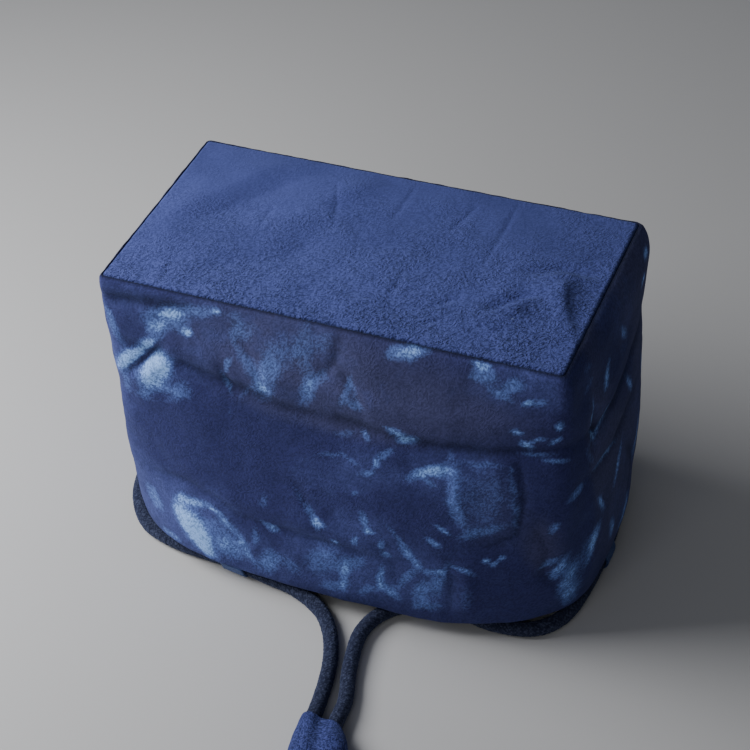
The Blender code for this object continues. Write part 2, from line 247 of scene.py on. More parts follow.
def braid_tree():
    """Geometry nodes that turn a path into a braided tube with unrolled coordinates."""
    tree = bpy.data.node_groups.new("braided_cord", "GeometryNodeTree")
    add_sockets(tree, "INPUT", Geometry="Geometry", Radius="Float", Step="Float", Pitch="Float",
                Relief="Float", Sides="Int", Strands="Int", Material="Material")
    add_sockets(tree, "OUTPUT", Geometry="Geometry")
    given = add_node(tree, "NodeGroupInput").outputs
    path = add_node(tree, "GeometryNodeResampleCurve", {0: given["Geometry"], 3: given["Step"]},
                    mode="LENGTH")
    place = add_node(tree, "GeometryNodeSplineParameter")
    run = add_node(tree, "GeometryNodeCaptureAttribute", {"Geometry": path.outputs[0]})
    run.capture_items.new("FLOAT", "run")
    tree.links.new(place.outputs["Length"], run.inputs["run"])
    ring = add_node(tree, "GeometryNodeCurvePrimitiveCircle",
                    {"Resolution": given["Sides"], "Radius": given["Radius"]})
    turn = add_node(tree, "GeometryNodeCaptureAttribute", {"Geometry": ring.outputs[0]})
    turn.capture_items.new("FLOAT", "turn")
    index = add_node(tree, "GeometryNodeInputIndex")
    tree.links.new(add_math(tree, "DIVIDE", index.outputs[0], given["Sides"]), turn.inputs["turn"])
    tube = add_node(tree, "GeometryNodeCurveToMesh",
                    {"Curve": run.outputs[0], "Profile Curve": turn.outputs[0], "Fill Caps": True})
    along, around = run.outputs["run"], turn.outputs["turn"]
    relief = weave_relief(tree, along, around, given["Strands"], given["Pitch"])
    knobs = add_node(tree, "ShaderNodeTexNoise", {"Scale": KNOB_SCALE, "Detail": 2.0})
    knob_share, braid_share, sink = BRAID_RISE
    raise_by = add_math(tree, "MULTIPLY_ADD", add_math(tree, "SUBTRACT", knobs.outputs[0], 0.5), knob_share,
                        add_math(tree, "MULTIPLY_ADD", relief, braid_share, sink))
    lift = add_math(tree, "MULTIPLY", raise_by, given["Relief"])
    normal = add_node(tree, "GeometryNodeInputNormal")
    push = vector_math(tree, "SCALE", normal.outputs[0], lift)
    raised = add_node(tree, "GeometryNodeSetPosition", {"Geometry": tube.outputs[0], "Offset": push})
    kept = add_node(tree, "GeometryNodeStoreNamedAttribute",
                    {"Geometry": raised.outputs[0], "Name": "braid", "Value": relief})
    face_turn = add_node(tree, "GeometryNodeFieldOnDomain", {0: around}, domain="FACE")
    at_seam = add_math(tree, "MULTIPLY", add_math(tree, "LESS_THAN", around, SEAM_START),
                       add_math(tree, "GREATER_THAN", face_turn.outputs[0], QUARTER_TURN))
    unrolled = add_node(tree, "ShaderNodeCombineXYZ", {0: along, 1: add_math(tree, "ADD", around, at_seam)})
    mapped = add_node(tree, "GeometryNodeStoreNamedAttribute",
                      {"Geometry": kept.outputs[0], "Name": "UVMap", "Value": unrolled.outputs[0]},
                      data_type="FLOAT2", domain="CORNER")
    real = add_node(tree, "GeometryNodeRealizeInstances", {0: mapped.outputs[0]})
    smooth = add_node(tree, "GeometryNodeSetShadeSmooth", {"Geometry": real.outputs[0]})
    done = add_node(tree, "GeometryNodeSetMaterial",
                    {"Geometry": smooth.outputs[0], "Material": given["Material"]})
    add_node(tree, "NodeGroupOutput", {0: done.outputs[0]})
    return tree


def baked_mesh(source, name, tree, values):
    """Run a geometry tree on an object with the given inputs and keep the plain mesh."""
    modifier = source.modifiers.new("making", "NODES")
    modifier.node_group = tree
    for item in tree.interface.items_tree:
        if item.in_out == "INPUT" and item.name in values:
            modifier[item.identifier] = values[item.name]
    depsgraph = bpy.context.evaluated_depsgraph_get()
    mesh = bpy.data.meshes.new_from_object(source.evaluated_get(depsgraph), depsgraph=depsgraph)
    mesh.name = name
    source.modifiers.remove(modifier)
    bpy.data.objects.remove(source, do_unlink=True)
    return place_object(name, mesh)


def noise_at(tree, place, scale, detail, roughness=0.5, **settings):
    """A noise texture's outputs at a place."""
    links = {"Vector": place, "Scale": scale, "Detail": detail, "Roughness": roughness}
    return add_node(tree, "ShaderNodeTexNoise", links, **settings).outputs


def fibre_group():
    """Shader group: fine cotton fibre as a height and a tone, at a given thread size."""
    tree = bpy.data.node_groups.new("cotton_fibre", "ShaderNodeTree")
    add_sockets(tree, "INPUT", Vector="Vector", Thread="Float", Stretch="Float")
    add_sockets(tree, "OUTPUT", Height="Float", Tone="Float")
    given = add_node(tree, "NodeGroupInput").outputs
    squash = add_node(tree, "ShaderNodeCombineXYZ", {0: given["Stretch"], 1: 1.0, 2: 1.0})
    drawn = vector_math(tree, "MULTIPLY", given["Vector"], squash.outputs[0])
    scale = add_math(tree, "DIVIDE", 1.0, given["Thread"])
    fine = noise_at(tree, drawn, scale, 3.0, 0.6)[0]
    broad = noise_at(tree, given["Vector"], add_math(tree, "MULTIPLY", scale, FIBRE_BROAD), 2.0)[0]
    tone = add_math(tree, "MULTIPLY_ADD", broad, 0.6, add_math(tree, "MULTIPLY", fine, 0.4))
    add_node(tree, "NodeGroupOutput", {"Height": fine, "Tone": tone})
    return tree


FIBRE = fibre_group()


def start_cloth(name, roughness, sheen, sheen_tint):
    """A material with its Principled shader ready for cotton."""
    material = bpy.data.materials.new(name)
    material.use_nodes = True
    shader = material.node_tree.nodes["Principled BSDF"]
    shader.inputs["Roughness"].default_value = roughness
    shader.inputs["Specular IOR Level"].default_value = COTTON_SPECULAR
    shader.inputs["Sheen Weight"].default_value = sheen
    shader.inputs["Sheen Roughness"].default_value = SHEEN_ROUGHNESS
    shader.inputs["Sheen Tint"].default_value = (*sheen_tint, 1.0)
    return material, material.node_tree, shader


def mix_colour(tree, factor, first, second):
    """Blend two colours, each a socket or three numbers."""
    first, second = ((*shade, 1.0) if isinstance(shade, tuple) else shade for shade in (first, second))
    return add_node(tree, "ShaderNodeMix", {0: factor, 6: first, 7: second}, data_type="RGBA").outputs[2]


def use_group(tree, group, links):
    """Place a shader group and feed it."""
    return add_node(tree, "ShaderNodeGroup", links, node_tree=group).outputs


def remap(tree, value, low, high):
    """Clamp a value's range onto 0 to 1 with soft ends."""
    links = {"Value": value, "From Min": low, "From Max": high}
    return add_node(tree, "ShaderNodeMapRange", links, interpolation_type="SMOOTHSTEP").outputs[0]


def finish_cloth(tree, shader, colour, height, strength, depth):
    """Feed a cloth's shader its colour and its relief."""
    tree.links.new(colour, shader.inputs["Base Color"])
    bump = add_node(tree, "ShaderNodeBump", {"Height": height, "Strength": strength, "Distance": depth})
    tree.links.new(bump.outputs[0], shader.inputs["Normal"])


def cord_cotton():
    """Near black navy braid, paler on its high spots: faded fibre there, and painted shade in the hollows
    between the strands.
    """
    material, tree, shader = start_cloth("cord_cotton", 0.92, 0.16, CORD_SHEEN)
    braid = add_node(tree, "ShaderNodeAttribute", attribute_name="braid").outputs["Fac"]
    spot = add_node(tree, "ShaderNodeTexCoord").outputs["Object"]
    fibre = use_group(tree, FIBRE, {"Vector": spot, "Thread": CORD_THREAD, "Stretch": 1.0})
    knobs = noise_at(tree, spot, FIBRE_KNOB_SCALE, 2.0)[0]
    # Paler on the braid's crowns and knobs, darker in its hollows: fibre wear plus painted shade
    high = remap(tree, add_math(tree, "MULTIPLY_ADD", braid, 0.25, knobs), *CROWN_WEAR_AND_SHADE_RANGE)
    wear_and_shade = add_math(tree, "MULTIPLY", high, fibre["Tone"])
    height = add_math(tree, "MULTIPLY_ADD", fibre["Height"], 0.5, knobs)
    finish_cloth(tree, shader, mix_colour(tree, wear_and_shade, CORD_NAVY, CORD_FADED_AND_LIT), height, 1.0, CORD_BUMP)
    return material


def make_cord():
    """Braid the cord along its route."""
    line = smooth_route(CORD_ROUTE, PATH_STEP)
    tails = [end + (end - before) / np.linalg.norm(end - before) * CORD_TAIL
             for before, end in ((line[1], line[0]), (line[-2], line[-1]))]
    line = np.vstack((tails[0], line, tails[1]))
    curve = bpy.data.curves.new("cord_path", "CURVE")
    curve.dimensions = "3D"
    spline = curve.splines.new("POLY")
    spline.points.add(len(line) - 1)
    for spot, point in zip(spline.points, line):
        spot.co = (*point, 1.0)
    source = place_object("cord_path", curve)
    values = {"Radius": CORD_DIAMETER / 2, "Step": CORD_STEP, "Pitch": BRAID_PITCH,
              "Relief": BRAID_RELIEF, "Sides": CORD_SIDES, "Strands": BRAID_STRANDS,
              "Material": cord_cotton()}
    return baked_mesh(source, "drawcord_braid", braid_tree(), values), line


cord, cord_line = make_cord()
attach(cord, "root")
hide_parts("drawcord")


# The base panel: one rectangle of crinkled cotton crepe, 180 by 94 mm, cut with
# an 8 mm allowance all round and turned in at the seam. It lies slack over the
# pouch's lining, with a pinched fold near its front right corner.

BASE_LENGTH = 0.180
BASE_WIDTH = 0.094
BASE_CORNER = 0.0022
BASE_SHIFT = 0.0050
PANEL_TOP = 0.1337
PANEL_CLOTH = 0.0008
PANEL_COLUMNS = 300
PANEL_ROWS = 156
SEAM_ROLL = 0.0012
SEAM_SINK = 0.0011
SEAM_INSET = 0.0009
# How far in from the panel's edge the painted shade of the seam's groove reaches, and how dark it is
SEAM_FADE = 0.0006
SEAM_PAINTED_SHADE = 0.80
PANEL_EASE = 0.012
PANEL_RISE = 0.0003
BACK_SEAM = 0.003
COTTON_SHEEN = (0.40, 0.52, 1.0)
LINT_BLUE = (0.30, 0.38, 0.55)
BASE_BLUE_DEEP = (0.0158, 0.0205, 0.0850)
BASE_BLUE_PALE = (0.0750, 0.0930, 0.2920)
CREPE_LEAN = math.radians(52.0)
CREPE_SWAY = (0.0012, 0.0060, 5)
CREPE_RIDGE = (0.00011, 0.00090, 6)
CREPE_DRAW = 1.8
BASE_CREPE = {"Turn": CREPE_LEAN, "Ridge": 0.00072, "Thread": 0.00042}
# Soft swells of the slack cloth and the puckers at its seam: height, size and seed
PANEL_SWELLS = ((0.0006, 0.034, 1), (0.00030, 0.013, 2))
PANEL_PUCKER = ((0.00018, 0.0045, 4),)
PUCKER_REACH = 0.0035
# How the crinkle's force runs over the panel: its mean, its slopes along x and y, and limits
GRAIN_MEAN = 0.66
GRAIN_SLOPES = (2.5, -11.0)
GRAIN_UNEVEN = ((0.30, 0.020, 7),)
GRAIN_LIMITS = (0.22, 1.35)
BASE_TONES = (0.05, 0.98)
LINT_SPACING = 0.0075
LINT_SHARE = 0.05
BASE_BUMP = 0.0014
FOLD_SHARPNESS = 1.6
# Folds of the panel in millimetres: height, half width, then the fold's path in x and y
PANEL_FOLDS = (
    (2.6, 5, (79, -1), (83.5, -12), (88.5, -21.5), (93, -30)),
    (-1.2, 3.4, (83, -4), (87, -13), (91.2, -21), (94, -28)),
    (2.1, 4.2, (80, -1), (71.5, -9), (65.5, -18), (61, -26)),
    (-2.2, 3, (58.5, -18.5), (65, -11.5), (72.5, -8), (77, -4)),
    (1.3, 2.2, (72.5, 3), (78.5, 5.8), (88, 6)),
    (-1, 3, (66, 5), (75, 10), (90, 10.5)),
    (-0.6, 1.1, (65.5, -18.5), (60.5, -26.5)),
    (-0.5, 1.1, (46, -18), (36, -26.5)),
    (-0.5, 1.1, (71, -14), (58, -19.5)),
    (-0.4, 1, (64, -26), (56, -33)),
    (-0.4, 1, (44, -31), (36, -37)),
    (1.3, 9, (-78, -6), (-60, 22), (-44, 45)),
    (-1.2, 7, (-64, -2), (-48, 20), (-32, 41)),
    (1, 10, (-30, 8), (-20, 26), (-8, 44)),
    (-1, 8, (-40, -30), (-22, -10), (-14, 10)),
    (-0.4, 1.2, (47.5, 4), (48, 26), (47.5, 46)),
    (-0.4, 1.2, (29.5, 20), (33, 36)),
    (-0.3, 1.2, (6, 20), (6.8, 42)),
    (-0.4, 1.4, (-23, 34), (-17, 19), (-14, 8)),
    (-0.3, 1.2, (-40.5, 14), (-40, -2)),
    (-0.4, 1.2, (21.5, -10), (22, -26)),
    (-0.6, 1.8, (-62.5, -30), (-60.5, -46)),
    (-0.5, 1.8, (-68, -38), (-66, -46)),
)


def clamp(value):
    """Hold a value between 0 and 1."""
    return np.clip(value, 0.0, 1.0)


def fold_height(first, second, folds):
    """Sum of the soft ridges and hollows along each fold's path."""
    total = np.zeros(first.shape)
    spots = np.stack((first, second), axis=-1)
    for height, half_width, *path in folds:
        nearest = np.full(first.shape, 1.0)
        fade = np.ones(first.shape)
        path = np.array(path) / 1000
        travelled = 0.0
        whole = np.linalg.norm(np.diff(path, axis=0), axis=1).sum()
        for start, end in zip(path[:-1], path[1:]):
            span = end - start
            length = np.linalg.norm(span)
            share = clamp(((spots - start) @ span) / length ** 2)
            gap = np.linalg.norm(spots - start - share[..., None] * span, axis=-1)
            closer = gap < nearest
            along = (travelled + share * length) / whole
            fade = np.where(closer, np.sin(math.pi * (0.12 + 0.80 * along)) ** 0.6, fade)
            nearest = np.minimum(nearest, gap)
            travelled += length
        total += height / 1000 * fade * np.exp(-(nearest * 1000 / half_width) ** FOLD_SHARPNESS)
    return total


def wander(points, size, seed):
    """Smooth noise, about -1 to 1, at each point."""
    shift = Vector((seed * 3.7, seed * 1.3, seed * 7.1))
    flat = points.reshape(-1, 3)
    values = [noise.noise(Vector(point) / size + shift) for point in flat.tolist()]
    return np.array(values).reshape(points.shape[:-1])


def swells(points, waves):
    """Sum of smooth noises, each with a height, a size and a seed."""
    return sum(height * wander(points, size, seed) for height, size, seed in waves)


def level_points(x, y):
    """Points at height zero."""
    return np.stack((x, y, np.zeros_like(x)), axis=-1)


def surface_normals(grid, closed):
    """Unit directions square to a grid of points, columns crossed with rows."""
    if closed:
        across = np.roll(grid, -1, axis=1) - np.roll(grid, 1, axis=1)
    else:
        across = np.gradient(grid, axis=1)
    normal = np.cross(across, np.gradient(grid, axis=0))
    return normal / np.maximum(np.linalg.norm(normal, axis=2, keepdims=True), 1e-12)


def shell_object(name, outer, inner, places, closed, masks, material):
    """Two layers of a cloth joined at its edges, with a map in metres and its masks."""
    rows, columns = outer.shape[:2]
    index = np.arange(rows * columns).reshape(rows, columns)
    grid = np.arange(rows * (columns + closed)).reshape(rows, columns + closed)
    if closed:
        index = np.hstack((index, index[:, :1]))
    under = index + rows * columns
    quads = []
    marks = []

    def strip(front, back, spots_front, spots_back):
        quads.append(np.stack((front[..., :-1], front[..., 1:], back[..., 1:], back[..., :-1]), axis=-1))
        marks.append(np.stack((spots_front[..., :-1], spots_front[..., 1:],
                               spots_back[..., 1:], spots_back[..., :-1]), axis=-1))

    strip(index[:-1], index[1:], grid[:-1], grid[1:])
    strip(under[1:], under[:-1], grid[1:], grid[:-1])
    strip(under[0], index[0], grid[0], grid[0])
    strip(index[-1], under[-1], grid[-1], grid[-1])
    if not closed:
        strip(index[:, 0], under[:, 0], grid[:, 0], grid[:, 0])
        strip(under[:, -1], index[:, -1], grid[:, -1], grid[:, -1])
    faces = np.concatenate([part.reshape(-1, 4) for part in quads])
    spots = np.concatenate([part.reshape(-1, 4) for part in marks])
    mesh = bpy.data.meshes.new(name)
    mesh.from_pydata(np.concatenate((outer.reshape(-1, 3), inner.reshape(-1, 3))).tolist(), [],
                     faces.tolist())
    layer = mesh.uv_layers.new(name="UVMap")
    layer.data.foreach_set("uv", places.reshape(-1, 2)[spots.reshape(-1)].astype(np.float32).reshape(-1))
    for label, values in masks.items():
        kept = mesh.attributes.new(label, "FLOAT", "POINT")
        kept.data.foreach_set("value", np.tile(values.reshape(-1), 2).astype(np.float32))
    mesh.shade_smooth()
    mesh.materials.append(material)
    return place_object(name, mesh)


def crepe_group():
    """Shader group: crinkled crepe, short wavy ridges over a plain weave."""
    tree = bpy.data.node_groups.new("crepe_grain", "ShaderNodeTree")
    add_sockets(tree, "INPUT", Vector="Vector", Turn="Float", Ridge="Float", Thread="Float")
    add_sockets(tree, "OUTPUT", Height="Float", Tone="Float")
    given = add_node(tree, "NodeGroupInput").outputs
    turned = add_node(tree, "ShaderNodeVectorRotate", {"Vector": given["Vector"], "Angle": given["Turn"]},
                      rotation_type="Z_AXIS").outputs[0]
    scale = add_math(tree, "DIVIDE", 1.0, given["Ridge"])
    sway = noise_at(tree, turned, add_math(tree, "MULTIPLY", scale, 0.22), 1.0)["Color"]
    swing = vector_math(tree, "SCALE", sway, add_math(tree, "MULTIPLY", given["Ridge"], 3.0))
    drawn = vector_math(tree, "MULTIPLY", vector_math(tree, "ADD", turned, swing), (1.0, 0.62, 1.0))
    ridges = noise_at(tree, drawn, scale, 2.0, 0.55)[0]
    patchy = noise_at(tree, given["Vector"], add_math(tree, "MULTIPLY", scale, 0.05), 2.0)[0]
    fibre = use_group(tree, FIBRE, {"Vector": given["Vector"], "Thread": given["Thread"], "Stretch": 1.0})
    force = add_math(tree, "MULTIPLY_ADD", remap(tree, patchy, 0.30, 0.65), 0.7, 0.3)
    shaped = add_math(tree, "MULTIPLY", ridges, force)
    height = add_math(tree, "MULTIPLY_ADD", fibre["Height"], 0.16, shaped)
    crown = remap(tree, ridges, 0.34, 0.64)
    tone = add_math(tree, "MULTIPLY_ADD", fibre["Tone"], 0.35, add_math(tree, "MULTIPLY", crown, 0.65))
    add_node(tree, "NodeGroupOutput", {"Height": height, "Tone": tone})
    return tree


CREPE = crepe_group()


def start_crepe(name, roughness, sheen, tint, crepe):
    """A cotton material, its own map and the crepe's height and tone laid along it."""
    material, tree, shader = start_cloth(name, roughness, sheen, tint)
    place = add_node(tree, "ShaderNodeUVMap", uv_map="UVMap").outputs[0]
    return material, tree, shader, place, use_group(tree, CREPE, {"Vector": place, **crepe})


def lint_specks(tree, place, spacing, amount):
    """Scattered short pale fibres: 1 on a fibre, 0 off it."""
    cells = add_node(tree, "ShaderNodeTexVoronoi", {"Vector": place, "Scale": 1.0 / spacing})
    chosen = add_node(tree, "ShaderNodeSeparateColor", {0: cells.outputs["Color"]}).outputs
    kept = add_math(tree, "LESS_THAN", chosen[0], amount)
    near = remap(tree, cells.outputs["Distance"], 0.075, 0.035)
    return add_math(tree, "MULTIPLY", kept, near)


def paint_seam_shade(tree, colour):
    """Darken a colour where the cloth turns into a seam: painted shade in the seam's groove."""
    depth = add_math(tree, "MULTIPLY_ADD", mask_of(tree, "seam"), -SEAM_PAINTED_SHADE, 1.0)
    return vector_math(tree, "SCALE", colour, depth)


def mask_of(tree, label):
    """A mask kept on the cloth."""
    return add_node(tree, "ShaderNodeAttribute", attribute_name=label).outputs["Fac"]


def base_cloth():
    """Mid blue crepe, paler on the crowns of its crinkles."""
    material, tree, shader, place, crepe = start_crepe("base_cloth", 0.90, 0.14, COTTON_SHEEN, BASE_CREPE)
    broad = noise_at(tree, place, 28.0, 3.0)[0]
    grain = mask_of(tree, "grain")
    relief = add_math(tree, "MULTIPLY", add_math(tree, "SUBTRACT", crepe["Tone"], 0.5), grain)
    crown = add_math(tree, "MULTIPLY_ADD", relief, 0.9, 0.27)
    tone = add_math(tree, "MULTIPLY_ADD", broad, 0.5, crown)
    tone = add_math(tree, "MULTIPLY_ADD", grain, 0.11, tone)
    colour = mix_colour(tree, remap(tree, tone, *BASE_TONES), BASE_BLUE_DEEP, BASE_BLUE_PALE)
    specks = lint_specks(tree, place, LINT_SPACING, LINT_SHARE)
    colour = mix_colour(tree, add_math(tree, "MULTIPLY", specks, 0.35), colour, LINT_BLUE)
    height = add_math(tree, "MULTIPLY", crepe["Height"], grain)
    finish_cloth(tree, shader, paint_seam_shade(tree, colour), height, 1.0, BASE_BUMP)
    return material


def panel_lift(x, y):
    """How far the slack cloth stands off its flat level at each place."""
    return swells(level_points(x, y), PANEL_SWELLS) + fold_height(x, y, PANEL_FOLDS)


def grain_force(x, y):
    """How strongly the crepe is crinkled: most toward the front and the right."""
    slope = GRAIN_SLOPES[0] * (x - BASE_SHIFT) + GRAIN_SLOPES[1] * y
    return np.clip(GRAIN_MEAN + slope + swells(level_points(x, y), GRAIN_UNEVEN), *GRAIN_LIMITS)


def crinkle(x, y):
    """Short wavy ridges of the crepe."""
    sway = swells(level_points(x, y), (CREPE_SWAY,))
    ahead = x * math.cos(CREPE_LEAN) + y * math.sin(CREPE_LEAN) + sway
    aside = y * math.cos(CREPE_LEAN) - x * math.sin(CREPE_LEAN) + sway
    return swells(level_points(ahead / CREPE_DRAW, aside), (CREPE_RIDGE,)) * grain_force(x, y)


def make_base():
    """Shape the panel: slack middle, folds, and edges rolled down into the seam."""
    half = (BASE_LENGTH / 2 - SEAM_INSET, BASE_WIDTH / 2 - SEAM_INSET)
    x, y = np.meshgrid(np.linspace(-1.0, 1.0, PANEL_COLUMNS) * half[0],
                       np.linspace(-1.0, 1.0, PANEL_ROWS) * half[1])
    to_side = half[0] - np.abs(x)
    to_front = half[1] - np.abs(y)
    a, b = clamp(1.0 - to_side / BASE_CORNER), clamp(1.0 - to_front / BASE_CORNER)
    x -= np.sign(x) * BASE_CORNER * a * (1.0 - np.sqrt(1.0 - b ** 2 / 2.0))
    y -= np.sign(y) * BASE_CORNER * b * (1.0 - np.sqrt(1.0 - a ** 2 / 2.0))
    x += BASE_SHIFT
    edge = np.minimum(to_side, to_front)
    lift = (panel_lift(x, y) + crinkle(x, y)) * clamp(edge / PANEL_EASE) ** 0.7
    pucker = swells(level_points(x, y), PANEL_PUCKER) * np.exp(-edge / PUCKER_REACH)
    roll = SEAM_SINK * clamp(1.0 - edge / SEAM_ROLL) ** 2
    outer = np.stack((x, y, PANEL_TOP + PANEL_RISE + lift + pucker - roll), axis=-1)
    inner = outer - (0.0, 0.0, PANEL_CLOTH)
    places = np.stack((x, y), axis=-1)
    # The seam mask is painted shade in the groove along the panel's edge, weaker at the back
    shut = 1.0 - 0.7 * (y > half[1] - BACK_SEAM)
    masks = {"seam": shut * clamp(1.15 - edge / SEAM_FADE), "grain": grain_force(x, y)}
    piece = shell_object("base_crepe", outer, inner, places, False, masks, base_cloth())
    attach(piece, "root")
    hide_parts("base_panel")


make_base()


# The side wall: one long strip of crumple-dyed indigo cotton, 548 mm round,
# sewn to the base panel above and turned in with the lining at the mouth. It
# bulges a little below the base seam and rounds out into the soft oval mouth.

HEIGHT = 0.134
MOUTH_LENGTH = 0.1986
MOUTH_WIDTH = 0.1246
MOUTH_SHIFT = 0.0029
MOUTH_POWER = 3.0
RIM_HEIGHT = 0.0092
SEAM_DROP = 0.0003
BELLY = 0.0015
BELLY_RIGHT = 0.0030
SHOULDER = 0.0008
SHOULDER_RIGHT = 0.0020
HEM_TUCK = 0.0012
BELLY_POWER = 0.8
SHOULDER_POWER = 9
TUCK_POWER = 12
CORNER_EASE = 0.30
CORNER_PASSES = 16
WALL_CLOTH = 0.0007
WALL_COLUMNS = 420
WALL_LEVELS = 96
WALL_ROLL = 0.0018
WALL_SINK = 0.0006
HEM_LOW = (0.045, 0.022)
HEM_RADIUS = 0.0011
HEM_STEPS = 5
HEM_SAG = 0.0017
HEM_TURN = math.pi * 0.9
HEM_FLARE = 0.05
# How the top edge goes into the seam: inset and drop, step by step
TOP_TURN = ((0.0003, 0.0001), (0.0007, 0.0006), (0.0009, 0.0013))
MOUTH_POINTS = 2881
CORNER_POINTS = 9
# Noises of the cloth: height, size and seed
WALL_SWELLS = ((0.0011, 0.034, 11), (0.00045, 0.013, 12), (0.00016, 0.0050, 13))
WALL_PUCKER = ((0.00030, 0.0042, 14),)
WALL_PUCKER_REACH = 0.006
WALL_EASE = 0.010
RIM_LONG_WAVE = ((0.0006, 0.030, 41),)
RIM_SHORT_WAVE = ((0.0003, 0.010, 42),)
# Where the front, right, back and left sides begin, for the folds and for the dye
FOLD_SIDES = (0.030, 0.070, 0.030, 0.066)
FOLD_FADE = 0.012
DYE_SIDES = (0.028, 0.078, 0.028, 0.074)
DYE_FADE = 0.010
DYE_BENDS = ((0.0009, 0.0062, 20), (0.0006, 0.0028, 24))
STAIN_EDGE = 1.6
# Fold depth at which the painted shade in a crease is full
CREASE_DEPTH = 0.0012
# How far down the wall the painted shade of the seam reaches
WALL_SEAM_FADE = 0.0009
WALL_CREPE = {"Turn": math.radians(35.0), "Ridge": 0.00075, "Thread": 0.00042}
WALL_DEEP = (0.0295, 0.0320, 0.1160)
WALL_MID = (0.0660, 0.0800, 0.2400)
WALL_PALE = (0.1550, 0.2550, 0.6400)
WALL_BRIGHT = (0.3050, 0.5150, 0.9800)
WALL_VIOLET = (0.0590, 0.0620, 0.1450)
# Scales of the dye's noises, and how its layers come in: mask, low, high and colour
DYE_WARP = (60.0, 0.010)
CLOUD_SCALE = 230.0
FIELD_SCALE = 48.0
VEIN_SCALE = 85.0
VEIN_RANGE = (0.95, 1.75)
DYE_LAYERS = (
    ("violet", 0.1, 1.0, WALL_VIOLET), ("haze", 0.10, 1.20, WALL_MID),
    ("dye", 0.16, 1.15, WALL_PALE), ("dye", 0.64, 1.04, WALL_BRIGHT),
)
WALL_BUMP = 0.0004
# Folds of the front in millimetres: height, half width, then the fold's path in x and z
FRONT_FOLDS = (
    (-1.3, 2.6, (-76, 105), (-60, 104), (-30, 99), (-5, 95), (20, 96)),
    (-1.3, 2.6, (12, 96), (45, 94), (70, 96), (96, 101)),
    (1.3, 6, (-60, 112), (-20, 107), (30, 106), (70, 108), (90, 111)),
    (-1.3, 1.6, (-78, 90), (-70, 99), (-60, 109)),
    (1.1, 3, (-73, 88), (-64, 97), (-57, 104)),
    (-1.7, 2.4, (-83, 125), (-66, 126.8), (-48, 128.5)),
    (-0.9, 1.6, (-36, 108), (-34, 100), (-30, 97)),
    (-0.9, 1.8, (-28, 38), (-5, 37.5), (28, 36)),
    (0.7, 5, (-45, 47), (-10, 45), (30, 43)),
    (-0.7, 2, (55, 42), (55.5, 28), (54, 14)),
    (0.9, 4, (61, 40), (62, 26), (60, 12)),
    (-1, 1.6, (80, 92), (81.5, 75), (79, 58), (70, 52)),
    (0.9, 5, (57, 88), (58, 72), (62, 58)),
    (-0.6, 1.6, (54, 91), (53.5, 75), (58, 58)),
    (-0.9, 1.8, (12, 132), (10, 120), (4, 112)),
    (-0.7, 1.6, (-27, 120), (-20, 108), (-19, 98)),
    (-0.7, 1.6, (13, 118), (18, 109), (22, 100)),
    (-1, 2, (86, 60), (90, 50), (88, 36), (93, 24)),
    (1.1, 5, (94, 92), (96, 70), (94, 48), (96, 24)),
    (-0.6, 1.4, (-8, 64), (-2, 54), (3, 47)),
    (-0.6, 1.6, (22, 44), (31, 38), (34, 30)),
    (1.1, 6, (-60, 30), (-50, 20), (-45, 12)),
    (-0.7, 1.8, (-72, 43), (-55, 46), (-40, 43), (-30, 36)),
)
# Folds of the right end in millimetres: height, half width, then the fold's path in y and z
RIGHT_FOLDS = (
    (-1.3, 2.4, (-46, 100), (-20, 92), (10, 93), (40, 99)),
    (1.3, 6, (-46, 110), (-10, 104), (30, 108)),
    (-1.1, 2.4, (-40, 78), (-12, 74), (22, 78)),
    (-1.1, 2.2, (-28, 110), (-26, 96), (-31, 84)),
    (1.3, 7, (-30, 60), (-22, 40), (-30, 20)),
    (-1.1, 2.6, (5, 60), (16, 46), (14, 28)),
)
